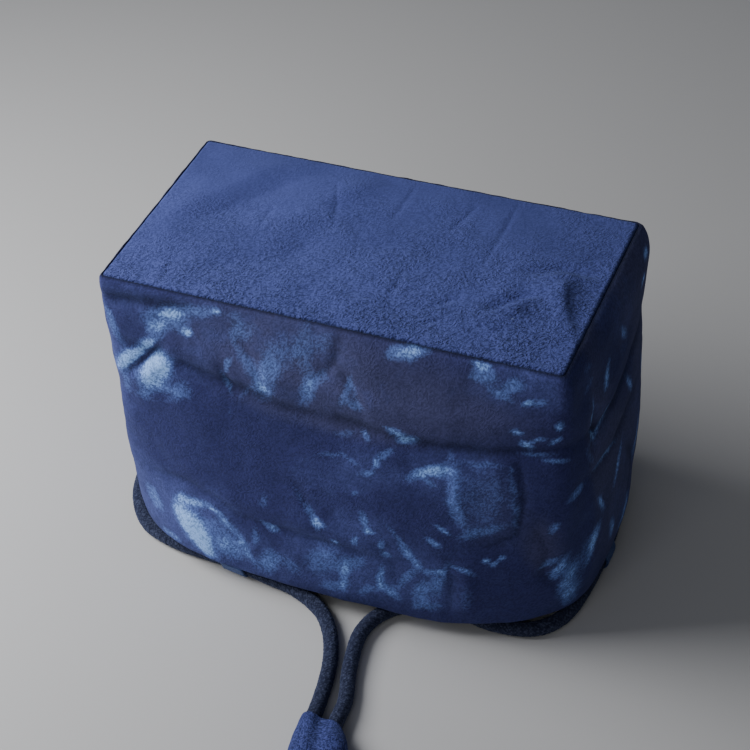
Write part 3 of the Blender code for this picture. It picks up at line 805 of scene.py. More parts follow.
# Pale patches of the front: x, z, half length and half width in millimetres, tilt in degrees,
# strength
FRONT_STAINS = (
    (-66, 94.5, 9.8, 6, 66, 1), (-62.5, 99, 6, 4.6, 60, 0.95), (-69, 82.5, 7, 2.2, 22, 0.74),
    (-57.5, 87, 6, 3, 35, 0.72), (-53, 90.5, 4.5, 4, 60, 0.6), (-74, 100, 12, 2.6, 48, 0.8),
    (-79, 95, 7, 3.6, 62, 0.72), (-65, 108.5, 6, 1.8, 42, 0.68), (-81.5, 112.5, 8.5, 2.2, 108, 0.62),
    (-80, 83, 6, 2.6, 80, 0.5), (-58, 121.5, 9, 4.8, 8, 0.66), (-49, 117.8, 2.4, 1.8, 20, 0.98),
    (-56, 123.5, 3.5, 1.6, 10, 0.82), (-63, 116, 4, 2.4, 30, 0.62), (-45, 128, 10, 2.8, 12, 0.55),
    (-37, 130, 1.4, 1.2, 0, 0.92), (-29, 126, 6, 2.4, 80, 0.46), (-24.5, 124, 5, 3, 60, 0.42),
    (-33, 108, 4, 1.2, 70, 0.66), (-34, 99, 6, 1, 118, 0.7), (-33, 87, 5, 1, 85, 0.62),
    (-28.5, 93.5, 6, 1.2, 60, 0.5), (-25, 111, 9, 2.4, 124, 0.49), (-17, 106, 10, 4, 78, 0.5),
    (-20, 101, 4, 3, 0, 0.52), (-12, 118, 10, 6, 60, 0.39), (-1, 105, 8, 2.8, 78, 0.5),
    (3.5, 110.5, 7, 2.4, 58, 0.53), (-1.5, 123, 10, 3.6, 84, 0.41), (6, 127, 5, 3, 60, 0.39),
    (14.5, 108.5, 7.5, 1.6, 72, 0.52), (18.5, 104.5, 3.2, 2.4, 0, 0.55), (17.5, 112.5, 5, 1.6, 110, 0.42),
    (36, 130, 6.2, 2.6, 14, 0.71), (40.5, 132.5, 5, 1.8, 10, 0.63), (34, 97, 4.5, 2.2, 160, 0.78),
    (39, 94.5, 4, 1.8, 10, 0.82), (22.5, 92, 2.2, 1.4, 120, 0.74), (13, 90, 5, 1.8, 20, 0.5),
    (30, 86, 5, 1.6, 40, 0.58), (43, 81, 6, 2, 40, 0.66), (50, 84, 5, 2.4, 20, 0.8),
    (46, 78.5, 4, 1.6, 140, 0.62), (27, 81, 2.2, 1.4, 60, 0.78), (22.5, 75.5, 3.5, 1.8, 30, 0.66),
    (7, 79, 5.5, 1.2, 18, 0.62), (16, 80, 4, 1.2, 150, 0.56), (18, 65.5, 1.2, 1, 0, 0.8),
    (56, 80, 12, 2.6, 92, 0.44), (58, 66, 7, 2.6, 108, 0.44), (62, 57, 5, 2.4, 40, 0.47),
    (70, 60, 6, 2, 30, 0.47), (67, 76, 13, 9.5, 85, 0.37), (78, 82, 11, 1.2, 92, 0.36),
    (79, 66, 8, 1.2, 84, 0.36), (67, 90.5, 8, 1.2, 4, 0.36), (52, 57.5, 3.6, 1.2, 150, 0.78),
    (49, 50, 3.4, 1.4, 155, 0.76), (-6, 58, 8, 1.2, 118, 0.6), (0.5, 49, 6, 1.6, 112, 0.7),
    (3, 47, 3, 2, 0, 0.7), (21.5, 54, 3.4, 1.8, 110, 0.72), (23.5, 49, 2.2, 1.6, 20, 0.92),
    (17.5, 42.5, 2.4, 1.4, 80, 0.8), (28, 43, 2.8, 1.4, 80, 0.76), (30, 38.5, 2.2, 1.4, 0, 0.76),
    (36, 48, 7, 1.4, 128, 0.58), (40, 40, 7, 1.8, 132, 0.66), (68, 45, 1.6, 1.2, 0, 0.92),
    (71.5, 43.5, 1.8, 1.2, 30, 0.92), (74, 46, 1.4, 1, 0, 0.78), (60, 38.5, 5, 1.4, 158, 0.74),
    (50, 35.5, 4, 1.4, 20, 0.66), (-18, 37.5, 3.6, 1.6, 160, 0.76), (10, 39, 1.6, 1.2, 0, 0.8),
    (-20, 50.5, 4, 1.8, 70, 0.56), (-52.5, 21.5, 9.8, 5.2, 118, 1), (-56, 25.5, 6, 4.2, 150, 0.98),
    (-49, 16.5, 6, 3, 120, 0.9), (-48, 25, 12, 11, 120, 0.5), (-43, 35.2, 2.8, 1.8, 0, 0.92),
    (-52, 37, 7, 1.8, 12, 0.72), (-60, 33, 6, 2.4, 60, 0.66), (-38, 33, 6, 2, 140, 0.66),
    (-74, 27, 6, 4, 120, 0.66), (-67, 11.5, 5, 2.2, 0, 0.66), (-36, 20, 6, 5, 110, 0.58),
    (-29.5, 21.5, 7, 1.8, 112, 0.68), (-20, 18.5, 7, 4, 60, 0.62), (-25, 30, 5, 2, 80, 0.55),
    (-10, 20, 5, 3, 120, 0.42), (4, 28, 9, 6, 50, 0.51), (12.5, 21.5, 7, 1.8, 84, 0.63),
    (16, 30, 7, 3, 40, 0.54), (8, 16, 6, 2.6, 20, 0.51), (27.5, 26.5, 6, 1.6, 84, 0.71),
    (31, 20, 5, 2.4, 130, 0.65), (22, 18, 5, 2.4, 40, 0.53), (38, 29, 8, 2, 56, 0.56),
    (44, 23, 8, 3, 70, 0.61), (51, 30, 8, 2.4, 80, 0.54), (47, 16, 5, 2.4, 20, 0.53),
    (86, 121.5, 3, 1.6, 20, 0.62), (82, 121, 2.2, 1.2, 30, 0.88), (93.5, 112.5, 2.2, 1.8, 60, 0.84),
    (79, 107.5, 2.4, 1.4, 0, 0.78), (82, 101.5, 2.6, 1.8, 120, 0.84), (86, 105, 3, 1, 20, 0.7),
    (92, 105, 3, 1.2, 40, 0.72), (66, 128, 5, 2.6, 10, 0.62), (65, 132, 4, 1.4, 0, 0.8),
    (77, 127, 5, 2.4, 30, 0.6), (72, 122, 5, 2, 160, 0.55), (92, 95.5, 4, 1, 175, 0.8),
    (86, 97.5, 6, 0.8, 8, 0.6), (97.5, 76, 2, 2, 0, 0.76), (92, 62, 4, 1.4, 70, 0.66),
    (93, 38, 6, 2, 66, 0.74), (95, 29, 9, 2.2, 80, 0.74), (96, 16, 6, 3, 84, 0.8),
    (90, 42, 4, 1.2, 40, 0.66), (61, 24, 6, 3, 90, 0.42),
)
# Pale patches of the right end, the same way but from y and z
RIGHT_STAINS = (
    (-37, 30, 14, 4, 78, 0.98), (-30, 38, 10, 3, 66, 0.92), (-42, 20, 8, 3, 84, 0.9),
    (-28, 100, 10, 1.3, 94, 0.96), (-38, 117.5, 8, 2.4, 20, 0.88), (-35, 127, 5, 2, 0, 0.9),
    (-20, 92, 12, 1.3, 10, 0.84), (-18, 75, 12, 1.3, 170, 0.84), (-33, 87, 6, 1.6, 120, 0.88),
    (-15, 110, 6, 2, 40, 0.8), (5, 115, 6, 1.8, 130, 0.8), (38, 126, 3, 2, 0, 0.94),
    (30, 120, 3, 1.8, 30, 0.88), (-6, 60, 9, 1.8, 60, 0.78), (12, 85, 7, 1.8, 120, 0.78),
    (22, 50, 9, 2.6, 70, 0.78), (-10, 30, 7, 3, 110, 0.8), (10, 20, 8, 3.4, 60, 0.78),
    (35, 75, 7, 2, 100, 0.8), (-24, 56, 7, 1.6, 118, 0.84),
)
# Darker clear areas inside the pale ones, the violet fields and the hazy ones, the same way
FRONT_GAPS = (
    (-45.2, 33.5, 4, 1.8, 10, 0.9), (-64, 84, 4, 1.6, 20, 0.8), (-69, 101, 11, 0.9, 49, 0.8),
    (-30, 70, 35, 16, 0, 0.8), (-60, 65, 24, 12, 0, 0.8), (75, 25, 12, 11, 90, 0.7),
    (90, 80, 12, 5, 90, 0.5), (-20, 90, 30, 4, 175, 0.6),
)
FRONT_VIOLET = (
    (25, 118, 56, 18, 0, 0.6), (40, 108, 36, 12, 0, 0.5), (-20, 119, 38, 17, 0, 0.6),
    (88, 52, 6, 14, 0, 0.7), (70, 70, 12, 18, 0, 0.5), (5, 95, 30, 6, 0, 0.6),
)
FRONT_HAZE = (
    (-56, 26, 30, 18, 0, 0.9), (8, 24, 25, 15, 0, 0.8), (42, 27, 14, 15, 0, 0.7),
    (-14, 119, 33, 18, 0, 0.45), (78, 127, 18, 9, 0, 0.7), (24, 48, 26, 12, 150, 0.6),
    (-62, 112, 24, 20, 0, 0.5), (67, 75, 13, 18, 0, 0.6), (30, 80, 30, 10, 20, 0.6),
    (-88, 80, 12, 50, 0, 0.4),
)


def stain_amount(first, second, stains):
    """How strongly a set of soft patches covers each place, 0 to 1."""
    clear = np.ones(first.shape)
    for place_first, place_second, length, width, tilt, strength in stains:
        turn = math.radians(tilt)
        off, up = first * 1000 - place_first, second * 1000 - place_second
        ahead = (off * math.cos(turn) + up * math.sin(turn)) / length
        aside = (up * math.cos(turn) - off * math.sin(turn)) / width
        clear *= 1.0 - strength * np.exp(-((ahead ** 2 + aside ** 2) ** STAIN_EDGE) * 0.5)
    return 1.0 - clear


def scattered_stains(count, reach, seed):
    """Patches for a side that has none of its own named, in the same manner."""
    rng = np.random.default_rng(seed)
    stains = []
    for _ in range(count):
        size = rng.uniform(0.1, 1.0) ** 2.5
        first, second = rng.uniform(*reach), rng.uniform(12, 130)
        for _ in range(rng.integers(1, 4)):
            stains.append((first + rng.normal() * 6, second + rng.normal() * 5,
                           2.5 + 10 * size, 1.2 + 5 * size * rng.uniform(0.3, 1.0),
                           rng.uniform(0.0, 180.0), rng.uniform(0.35, 0.85)))
    return stains


def rectangle_at(shares):
    """Base outline at shares of the way round, from the middle of the +X side."""
    turn = np.linspace(0.0, math.pi / 2, CORNER_POINTS)
    points = []
    for quarter, (sx, sy) in enumerate(((1, 1), (-1, 1), (-1, -1), (1, -1))):
        centre = np.array((sx * (BASE_LENGTH / 2 - BASE_CORNER), sy * (BASE_WIDTH / 2 - BASE_CORNER)))
        angle = turn + quarter * math.pi / 2
        points.append(centre + BASE_CORNER * np.column_stack((np.cos(angle), np.sin(angle))))
    start = np.array(((BASE_LENGTH / 2, 0.0),))
    return along_outline(np.concatenate((start, *points, start)), shares)


def mouth_at(shares):
    """Oval of the mouth at the same shares."""
    turn = np.linspace(0.0, 2.0 * math.pi, MOUTH_POINTS)
    power = 2.0 / MOUTH_POWER
    x = MOUTH_LENGTH / 2 * np.sign(np.cos(turn)) * np.abs(np.cos(turn)) ** power
    y = MOUTH_WIDTH / 2 * np.sign(np.sin(turn)) * np.abs(np.sin(turn)) ** power
    return along_outline(np.column_stack((x, y)), shares)


def along_outline(points, shares):
    """Points at given shares of an outline's length."""
    steps = np.hypot(*np.diff(points, axis=0).T)
    travelled = np.concatenate(([0.0], np.cumsum(steps))) / steps.sum()
    return np.column_stack((np.interp(shares, travelled, points[:, 0]),
                            np.interp(shares, travelled, points[:, 1])))


def wall_ring(shares, up):
    """One level of the wall, from the rim at 0 to the base seam at 1."""
    flat = (1.0 - up) * mouth_at(shares) + up * rectangle_at(shares)
    outward = flat / np.linalg.norm(flat, axis=1, keepdims=True)
    belly = BELLY + BELLY_RIGHT * clamp(outward[:, :1])
    swell = belly * math.sin(math.pi * up) ** BELLY_POWER
    shoulder = SHOULDER + SHOULDER_RIGHT * clamp(outward[:, :1])
    swell = swell + shoulder * math.sin(math.pi * up ** SHOULDER_POWER)
    swell = swell - HEM_TUCK * (1.0 - up) ** TUCK_POWER
    ring = flat + outward * swell + (BASE_SHIFT * up + MOUTH_SHIFT * (1.0 - up), 0.0)
    height = RIM_HEIGHT + up * (HEIGHT - SEAM_DROP - RIM_HEIGHT)
    return np.column_stack((ring, np.full(len(shares), height)))


def wall_grid(columns, levels):
    """The wall's plain shape before its folds, as rows of points."""
    shares = np.arange(columns) / columns
    levels_up = np.linspace(0.0, 1.0, levels)
    grid = np.array([wall_ring(shares, up) for up in levels_up])
    ease = clamp((1.0 - levels_up) / CORNER_EASE)[:, None, None]
    for _ in range(round(CORNER_PASSES * (columns / WALL_COLUMNS) ** 2)):
        grid += ease * ((np.roll(grid, 1, axis=1) + np.roll(grid, -1, axis=1)) / 2.0 - grid) / 2.0
    return grid


def toward_sides(x, y, limits, fade):
    """How far into the front, the right, the back and the left each place is, 0 to 1."""
    front, right, back, left = limits
    return [clamp(depth / fade) for depth in (-front - y, x - right, y - back, -left - x)]


def wall_lift(grid):
    """How far the cloth stands out of the plain shape at each place."""
    x, y, z = np.moveaxis(grid, -1, 0)
    from_seam = np.clip(HEIGHT - z, 0.0, None)
    front, right, back, left = toward_sides(x, y, FOLD_SIDES, FOLD_FADE)
    folds = front * fold_height(x, z, FRONT_FOLDS) + right * fold_height(y, z, RIGHT_FOLDS)
    folds = folds + back * fold_height(-x, z, FRONT_FOLDS) + left * fold_height(-y, z, RIGHT_FOLDS)
    pucker = swells(grid * (1.0, 1.0, 0.35), WALL_PUCKER) * np.exp(-from_seam / WALL_PUCKER_REACH)
    return (swells(grid, WALL_SWELLS) + folds) * clamp(from_seam / WALL_EASE) + pucker


def dye_masks(grid):
    """How the dye took: pale patches, hazy areas, violet areas and fine crackle; also painted shade in the
    creases, at the top seam and over the right end.
    """
    bent = grid.copy()
    for axis in range(3):
        for reach, size, seed in DYE_BENDS:
            bent[..., axis] += reach * wander(grid, size, seed + axis)
    x, y, z = np.moveaxis(bent, -1, 0)
    front, right, back, left = toward_sides(grid[..., 0], grid[..., 1], DYE_SIDES, DYE_FADE)
    right = right * (1.0 - front)
    left = left * (1.0 - front) * (1.0 - back)
    dye = front * stain_amount(x, z, FRONT_STAINS) * (1.0 - stain_amount(x, z, FRONT_GAPS))
    dye += right * stain_amount(y, z, RIGHT_STAINS)
    dye += back * stain_amount(x, z, scattered_stains(46, (-90, 100), 5))
    dye += left * stain_amount(y, z, scattered_stains(24, (-50, 50), 8))
    haze = front * stain_amount(x, z, FRONT_HAZE)
    # Painted shade on the right end, the side turned from the light: less haze and more violet there
    haze += (1.0 - front) * (1.0 - 0.6 * right) * clamp(0.5 + 1.2 * wander(grid, 0.030, 31))
    violet = front * stain_amount(x, z, FRONT_VIOLET)
    violet += (1.0 - front) * clamp(0.2 + 0.7 * right + 1.4 * wander(grid, 0.036, 32))
    crackle = clamp(0.34 + 0.9 * wander(grid, 0.024, 33) + 0.45 * (x - 0.03) / 0.07 * front)
    # Painted shade in the hollows of the folds, full where a fold is CREASE_DEPTH deep
    pressed = front * fold_height(x, z, FRONT_FOLDS) + right * fold_height(y, z, RIGHT_FOLDS)
    # Painted shade along the top, where the wall turns into the seam
    seam = clamp(1.10 - (grid[-1, 0, 2] - grid[..., 2]) / WALL_SEAM_FADE)
    return {"dye": dye, "haze": haze, "violet": violet, "crackle": crackle,
            "crease_shade": clamp(-pressed / CREASE_DEPTH), "seam": seam}


def dyed_cloth():
    """Indigo taken unevenly by crumpled cloth: soft fields, sharp pale islands, fine lines."""
    material, tree, shader, place, crepe = start_crepe("dyed_cloth", 0.90, 0.12, COTTON_SHEEN, WALL_CREPE)
    warp = noise_at(tree, place, DYE_WARP[0], 3.0)["Color"]
    bent = vector_math(tree, "ADD", place, vector_math(tree, "SCALE", warp, DYE_WARP[1]))
    cloud = noise_at(tree, bent, CLOUD_SCALE, 7.0, 0.70)[0]
    broad = noise_at(tree, bent, FIELD_SCALE, 5.0, 0.6)[0]
    creases = noise_at(tree, bent, VEIN_SCALE, 4.0, 0.5, noise_type="RIDGED_MULTIFRACTAL")[0]
    spread, wide, grain = (add_math(tree, "SUBTRACT", value, 0.5)
                           for value in (cloud, broad, crepe["Tone"]))
    vein = remap(tree, creases, *VEIN_RANGE)
    crackle = add_math(tree, "MULTIPLY", vein, remap(tree, mask_of(tree, "crackle"), 0.25, 0.9))
    dye = mask_of(tree, "dye")
    for value, share in ((spread, 0.48), (crackle, 0.34), (grain, 0.25)):
        dye = add_math(tree, "MULTIPLY_ADD", value, share, dye)
    haze = add_math(tree, "MULTIPLY_ADD", wide, 1.8, mask_of(tree, "haze"))
    haze = add_math(tree, "MULTIPLY_ADD", spread, 0.8, haze)
    layers = {"violet": mask_of(tree, "violet"), "haze": haze, "dye": dye}
    colour = WALL_DEEP
    for label, low, high, shade in DYE_LAYERS:
        colour = mix_colour(tree, remap(tree, layers[label], low, high), colour, shade)
    tone = add_math(tree, "MULTIPLY_ADD", crepe["Tone"], 0.60, 0.70)
    # Painted shade in the creases
    crease_shading = add_math(tree, "MULTIPLY_ADD", mask_of(tree, "crease_shade"), -0.50, 1.0)
    shaded = vector_math(tree, "SCALE", colour, add_math(tree, "MULTIPLY", tone, crease_shading))
    finish_cloth(tree, shader, paint_seam_shade(tree, shaded), crepe["Height"], 0.8, WALL_BUMP)
    return material


def make_wall():
    """Shape the strip, its hem rolled in at the mouth and its top rolled into the seam."""
    grid = wall_grid(WALL_COLUMNS, WALL_LEVELS)
    masks = dye_masks(grid)
    normal = surface_normals(grid, True)
    flare = clamp(1.0 - np.linspace(0.0, 1.0, WALL_LEVELS)[:, None] / HEM_FLARE)
    waves = swells(grid[0] * (1.0, 1.0, 0.0), RIM_LONG_WAVE) + swells(grid[0], RIM_SHORT_WAVE)
    outer = grid + normal * wall_lift(grid)[..., None]
    low = HEM_SAG * np.exp(-(((grid[0, :, 0] - HEM_LOW[0]) / HEM_LOW[1]) ** 2)) * (grid[0, :, 1] < 0.0)
    outer[..., 2] += (waves - low) * flare ** 2
    roll = clamp(1.0 - (grid[-1, 0, 2] - grid[..., 2]) / WALL_ROLL) ** 2
    outer = outer - normal * WALL_SINK * roll[..., None]
    flat_out = normal * (1.0, 1.0, 0.0)
    flat_out /= np.linalg.norm(flat_out, axis=2, keepdims=True)
    hem = []
    for step in range(HEM_STEPS, 0, -1):
        angle = step / HEM_STEPS * HEM_TURN
        ring = outer[0] - flat_out[0] * HEM_RADIUS * (1.0 - math.cos(angle))
        ring[:, 2] -= HEM_RADIUS * math.sin(angle)
        hem.append(ring)
    seam = [outer[-1] - flat_out[-1] * inset - (0.0, 0.0, drop) for inset, drop in TOP_TURN]
    outer = np.concatenate((hem, outer, seam))
    inner = outer - surface_normals(outer, True) * WALL_CLOTH
    masks = {label: np.pad(values, ((HEM_STEPS, len(TOP_TURN)), (0, 0)), mode="edge")
             for label, values in masks.items()}
    perimeter = 2 * (BASE_LENGTH + BASE_WIDTH)
    round_place = np.linspace(0.0, perimeter, WALL_COLUMNS + 1)
    up_place = np.concatenate(([0.0], np.cumsum(np.linalg.norm(np.diff(outer[:, 0], axis=0), axis=1))))
    places = np.stack(np.meshgrid(round_place, up_place), axis=-1)
    piece = shell_object("wall_dyed", outer, inner, places, True, masks, dyed_cloth())
    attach(piece, "root")
    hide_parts("side_wall")


make_wall()


# The lining: a second pouch of plain blue cotton, one strip and one rectangle,
# sewn to the outer cloth along the mouth and otherwise hanging free inside it.

LINING_COLUMNS = 210
LINING_LEVELS = 50
LINING_CLOTH = 0.0005
LINING_INSET = 0.0019
LINING_TOP = 0.1322
LINING_BLUE = (0.0300, 0.0470, 0.1300)
LINING_FADED = (0.0440, 0.0660, 0.1600)
LINING_SHEEN = (0.55, 0.66, 1.0)
LINING_EASE = 0.012


def plain_cotton(name, deep, faded, turn):
    """Plain woven cotton with a little unevenness."""
    weave = {"Turn": turn, "Ridge": 0.0007, "Thread": 0.0004}
    material, tree, shader, _, crepe = start_crepe(name, 0.88, 0.20, LINING_SHEEN, weave)
    colour = mix_colour(tree, remap(tree, crepe["Tone"], 0.35, 0.70), deep, faded)
    finish_cloth(tree, shader, colour, crepe["Height"], 0.5, 0.0004)
    return material


def make_lining():
    """Follow the outer cloth at a small distance inside it."""
    cotton = plain_cotton("lining_cloth", LINING_BLUE, LINING_FADED, 0.3)
    grid = wall_grid(LINING_COLUMNS, LINING_LEVELS)
    normal = surface_normals(grid, True)
    outer = grid + normal * (wall_lift(grid) - LINING_INSET)[..., None]
    rim = outer[0, :, 2].mean()
    low, high = grid[0, 0, 2], grid[-1, 0, 2]
    outer[..., 2] = rim + (grid[..., 2] - low) * (LINING_TOP - rim) / (high - low)
    inner = outer - surface_normals(outer, True) * LINING_CLOTH
    perimeter = 2 * (BASE_LENGTH + BASE_WIDTH)
    round_place = np.linspace(0.0, perimeter, LINING_COLUMNS + 1)
    places = np.stack(np.meshgrid(round_place, outer[:, 0, 2]), axis=-1)
    strip = shell_object("lining_strip", outer, inner, places, True, {}, cotton)
    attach(strip, "root")
    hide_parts("lining_wall")
    inset = LINING_INSET + 4 * LINING_CLOTH
    half = (BASE_LENGTH / 2 - inset, BASE_WIDTH / 2 - inset)
    x, y = np.meshgrid(np.linspace(-half[0], half[0], 121) + BASE_SHIFT, np.linspace(-half[1], half[1], 65))
    edge = np.minimum(half[0] - np.abs(x - BASE_SHIFT), half[1] - np.abs(y))
    level = LINING_TOP - PANEL_RISE + panel_lift(x, y) * clamp(edge / LINING_EASE)
    top = np.stack((x, y, level), axis=-1)
    panel = shell_object("lining_rectangle", top, top - (0.0, 0.0, LINING_CLOTH),
                         np.stack((x, y), axis=-1), False, {}, cotton)
    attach(panel, "root")
    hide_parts("lining_base")


make_lining()


# The six cord loops: short straps of plain cotton folded in half round the
# cord, 11 mm wide, their raw ends caught in the seam of the mouth.

LOOP_PLACES = {
    "front_left": (-0.0378, -0.0533), "front_right": (0.0430, -0.0491), "left": (-0.0993, 0.0),
    "right": (0.0972, 0.0), "back_left": (-0.0390, 0.0564), "back_right": (0.0390, 0.0564),
}
LOOP_WIDTH = 0.0108
LOOP_CLOTH = 0.0007
LOOP_RADIUS = 0.0041
LOOP_RISE = 0.0041
LOOP_ROWS = 56
LOOP_COLUMNS = 26
LOOP_LEGS = 8
LOOP_TUCK = 0.0012
LOOP_CRUMPLE = ((0.00012, 0.0025, 51),)
LOOP_EDGE = 0.86
LOOP_EDGE_DROP = 0.00022
LOOP_BLUE = (0.0260, 0.0450, 0.1350)
LOOP_FADED = (0.0480, 0.0780, 0.1950)


def strap_line(reach, rise):
    """Outer face of the strap seen along the cord: from the seam, round the cord and back."""
    away = math.hypot(reach, rise)
    lean = math.atan2(rise, reach)
    open_angle = math.acos(LOOP_RADIUS / away)
    turns = np.linspace(lean - open_angle, lean + open_angle - 2.0 * math.pi,
                        LOOP_ROWS - 2 * LOOP_LEGS)
    round_part = LOOP_RADIUS * np.column_stack((np.cos(turns), np.sin(turns)))
    seam = np.array((reach, rise))
    gap = LOOP_CLOTH * 1.1 * np.array((math.sin(lean), -math.cos(lean)))
    shares = np.linspace(0.0, 1.0, LOOP_LEGS, endpoint=False)[:, None]
    down = (seam + gap) * (1.0 - shares) + round_part[0] * shares
    up = (seam - gap) * (1.0 - shares[::-1]) + round_part[-1] * shares[::-1]
    return np.concatenate((down, round_part, up))


def make_loop(name, x, y, cotton):
    """Fold one strap round the cord, square to it."""
    nearest = int(np.argmin(np.hypot(cord_line[:, 0] - x, cord_line[:, 1] - y)))
    along = cord_line[nearest + 2] - cord_line[nearest - 2]
    along = along * (1.0, 1.0, 0.0) / np.hypot(along[0], along[1])
    outward = np.array((along[1], -along[0], 0.0))
    if outward[0] * x + outward[1] * y < 0.0:
        outward = -outward
    shares = np.linspace(0.0, 1.0, 1201)
    rim = wall_ring(shares, 0.0)[:, :2] - (x, y)
    ahead = rim @ outward[:2]
    beside = np.where(np.abs(ahead) < MOUTH_WIDTH / 4, np.abs(rim @ along[:2]), 1.0)
    reach = max(ahead[int(np.argmin(beside))] - LOOP_TUCK, LOOP_RADIUS * 0.4)
    line = strap_line(reach, LOOP_RISE)
    sides = np.linspace(-0.5, 0.5, LOOP_COLUMNS) * LOOP_WIDTH
    grid = np.array((x, y, CORD_IN_LOOP)) + line[:, None, :1] * outward
    grid = grid + sides[None, :, None] * along
    grid[..., 2] += line[:, None, 1]
    first_step = outward * (line[1, 0] - line[0, 0]) + (0, 0, line[1, 1] - line[0, 1])
    if np.cross(along, first_step) @ outward < 0.0:
        grid = grid[:, ::-1]
    normal = surface_normals(grid, False)
    ease = clamp(np.linspace(0.0, 1.0, LOOP_ROWS) / 0.2)[:, None]
    outer = grid + normal * (swells(grid, LOOP_CRUMPLE) * ease)[..., None]
    edge = np.abs(np.linspace(-1.0, 1.0, LOOP_COLUMNS))[None, :, None]
    outer = outer - normal * LOOP_EDGE_DROP * clamp((edge - LOOP_EDGE) / (1.0 - LOOP_EDGE)) ** 2
    inner = outer - normal * LOOP_CLOTH
    run = np.concatenate(([0.0], np.cumsum(np.linalg.norm(np.diff(line, axis=0), axis=1))))
    places = np.stack(np.meshgrid(sides + x, run + y), axis=-1)
    piece = shell_object("loop_" + name, outer, inner, places, False, {}, cotton)
    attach(piece, "root")
    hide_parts("cord_loop_" + name)


def make_loops():
    """All six straps, cut from one cotton."""
    cotton = plain_cotton("loop_cloth", LOOP_BLUE, LOOP_FADED, 1.2)
    for name, (x, y) in LOOP_PLACES.items():
        make_loop(name, x, y, cotton)


make_loops()


# The cord-end cover: a small bud of the base panel's crepe, folded over the
# two ends of the cord and stitched shut, softly filled. A fold runs down its
# middle between the two ends, so that its neck has a lobe over each.

COVER_NECK = (0.0260, -0.1164)
COVER_TURN = math.radians(15.0)
COVER_LENGTH = 0.034
COVER_WIDTH = 0.0222
COVER_THICKNESS = 0.0135
COVER_COLUMNS = 160
COVER_ROWS = 92
COVER_LIP = 10
COVER_CREPE = {"Turn": 0.4, "Ridge": 0.00062, "Thread": 0.0004}
COVER_CRUMPLE = ((0.00030, 0.0085, 61), (0.00010, 0.0024, 62))
FLOOR_GAP = 0.00004
NECK_DRAW = 0.16
NECK_BOX = 0.36
NECK_SLANT = 0.0017
NECK_DROP = 0.0042
SLANT_REACH = 0.36
LIP_DEPTH = 0.10
TIP_CROWDING = 1.25
NECK_RISE = 0.62
PLEATS = 7.0
PLEAT_DEPTH = 0.05
VALLEY_WIDTH = 0.22
VALLEY_DEPTH = (0.10, 0.34)
# Share of the length, of the width and of the thickness, from the neck to the tip
COVER_PROFILE = (
    (0.00, 0.76, 0.64), (0.10, 0.83, 0.74), (0.25, 0.91, 0.87), (0.45, 0.98, 0.97),
    (0.62, 1.00, 1.00), (0.80, 0.88, 0.88), (0.93, 0.60, 0.60), (1.00, 0.20, 0.20),
)


def cover_cloth():
    """The base panel's crepe and its two blues, the colour following the crepe's tone."""
    material, tree, shader, _, crepe = start_crepe("cover_cloth", 0.90, 0.14, COTTON_SHEEN, COVER_CREPE)
    colour = mix_colour(tree, remap(tree, crepe["Tone"], 0.20, 1.00), BASE_BLUE_DEEP, BASE_BLUE_PALE)
    finish_cloth(tree, shader, colour, crepe["Height"], 1.0, 0.0009)
    return material


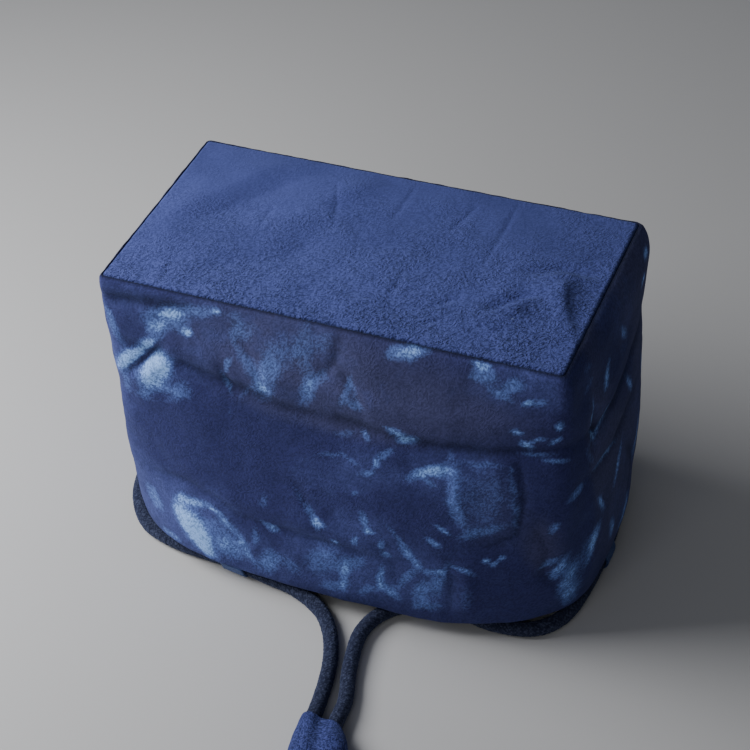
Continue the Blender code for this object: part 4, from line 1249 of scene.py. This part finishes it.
def make_cover():
    """Rings from inside the neck, over its lip and down to the closed tip."""
    share_rows, wide_rows, thick_rows = np.array(COVER_PROFILE).T
    shares = np.concatenate((np.linspace(LIP_DEPTH, 0.0, COVER_LIP, endpoint=False),
                             1.0 - np.linspace(1.0, 0.0, COVER_ROWS) ** TIP_CROWDING))
    in_neck = np.concatenate((np.linspace(1.0, 0.0, COVER_LIP, endpoint=False), np.zeros(COVER_ROWS)))
    turn = np.linspace(0.0, 2.0 * math.pi, COVER_COLUMNS, endpoint=False)
    forward = np.array((math.sin(COVER_TURN), -math.cos(COVER_TURN), 0.0))
    sideways = np.array((math.cos(COVER_TURN), math.sin(COVER_TURN), 0.0))
    share, angle = np.meshgrid(shares, turn, indexing="ij")
    inside = clamp(np.meshgrid(in_neck, turn, indexing="ij")[0] * 3.0)
    wide = np.interp(share, share_rows, wide_rows) * COVER_WIDTH / 2
    thick = np.interp(share, share_rows, thick_rows) * COVER_THICKNESS / 2
    cosine, sine = np.cos(angle), np.sin(angle)
    near = (1.0 - share) ** 2
    boxy = 1.0 - NECK_BOX * near
    pleats = 1.0 + PLEAT_DEPTH * np.cos(PLEATS * angle + 0.6) * share ** 3
    draw_in = 1.0 - NECK_DRAW * inside
    valley = (VALLEY_DEPTH[0] + VALLEY_DEPTH[1] * near) * np.exp(-(cosine / VALLEY_WIDTH) ** 2)
    across = wide * draw_in * np.sign(cosine) * np.abs(cosine) ** boxy * pleats
    rise = thick * draw_in * np.sign(sine) * np.abs(sine) ** boxy * (1.0 - valley) * pleats
    slant = NECK_SLANT * (np.tanh(-3.0 * cosine) - 0.2) - NECK_DROP * clamp(cosine) ** 2
    ahead = share * COVER_LENGTH - slant * clamp(1.0 - share / SLANT_REACH)
    middle = thick.max() * (NECK_RISE + (1.0 - NECK_RISE) * clamp(share / 0.5))
    grid = np.array((*COVER_NECK, 0.0)) + ahead[..., None] * forward + across[..., None] * sideways
    grid[..., 2] = np.maximum(middle + rise, FLOOR_GAP)
    normal = surface_normals(grid, True)
    facing = np.sign((normal * (grid - grid.mean(axis=1, keepdims=True))).sum(axis=2).mean())
    grid = grid + normal * facing * (swells(grid, COVER_CRUMPLE) * (1.0 - inside))[..., None]
    grid[..., 2] = np.maximum(grid[..., 2], FLOOR_GAP)
    rows, columns = share.shape
    index = np.arange(rows * columns).reshape(rows, columns)
    index = np.hstack((index, index[:, :1]))
    faces = np.stack((index[:-1, :-1], index[:-1, 1:], index[1:, 1:], index[1:, :-1]), axis=-1)
    faces = faces.reshape(-1, 4).tolist()
    faces += [(rows * columns, index[0, i + 1], index[0, i]) for i in range(columns)]
    faces += [(rows * columns + 1, index[-1, i], index[-1, i + 1]) for i in range(columns)]
    if facing < 0.0:
        faces = [face[::-1] for face in faces]
    points = np.concatenate((grid.reshape(-1, 3), grid[:1].mean(axis=1), grid[-1:].mean(axis=1)))
    mesh = bpy.data.meshes.new("cord_end_bud")
    mesh.from_pydata(points.tolist(), [], faces)
    layer = mesh.uv_layers.new(name="UVMap")
    unrolled = np.stack((angle * COVER_WIDTH / 2, share * COVER_LENGTH), axis=-1).reshape(-1, 2)
    spread = np.concatenate((unrolled, np.zeros((2, 2))))
    corners = np.empty(len(mesh.loops), dtype=np.int32)
    mesh.loops.foreach_get("vertex_index", corners)
    layer.data.foreach_set("uv", spread[corners].astype(np.float32).reshape(-1))
    mesh.shade_smooth()
    mesh.materials.append(cover_cloth())
    piece = place_object("cord_end_bud", mesh)
    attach(piece, "root")
    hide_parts("cord_end_cover")
    return piece


cover = make_cover()
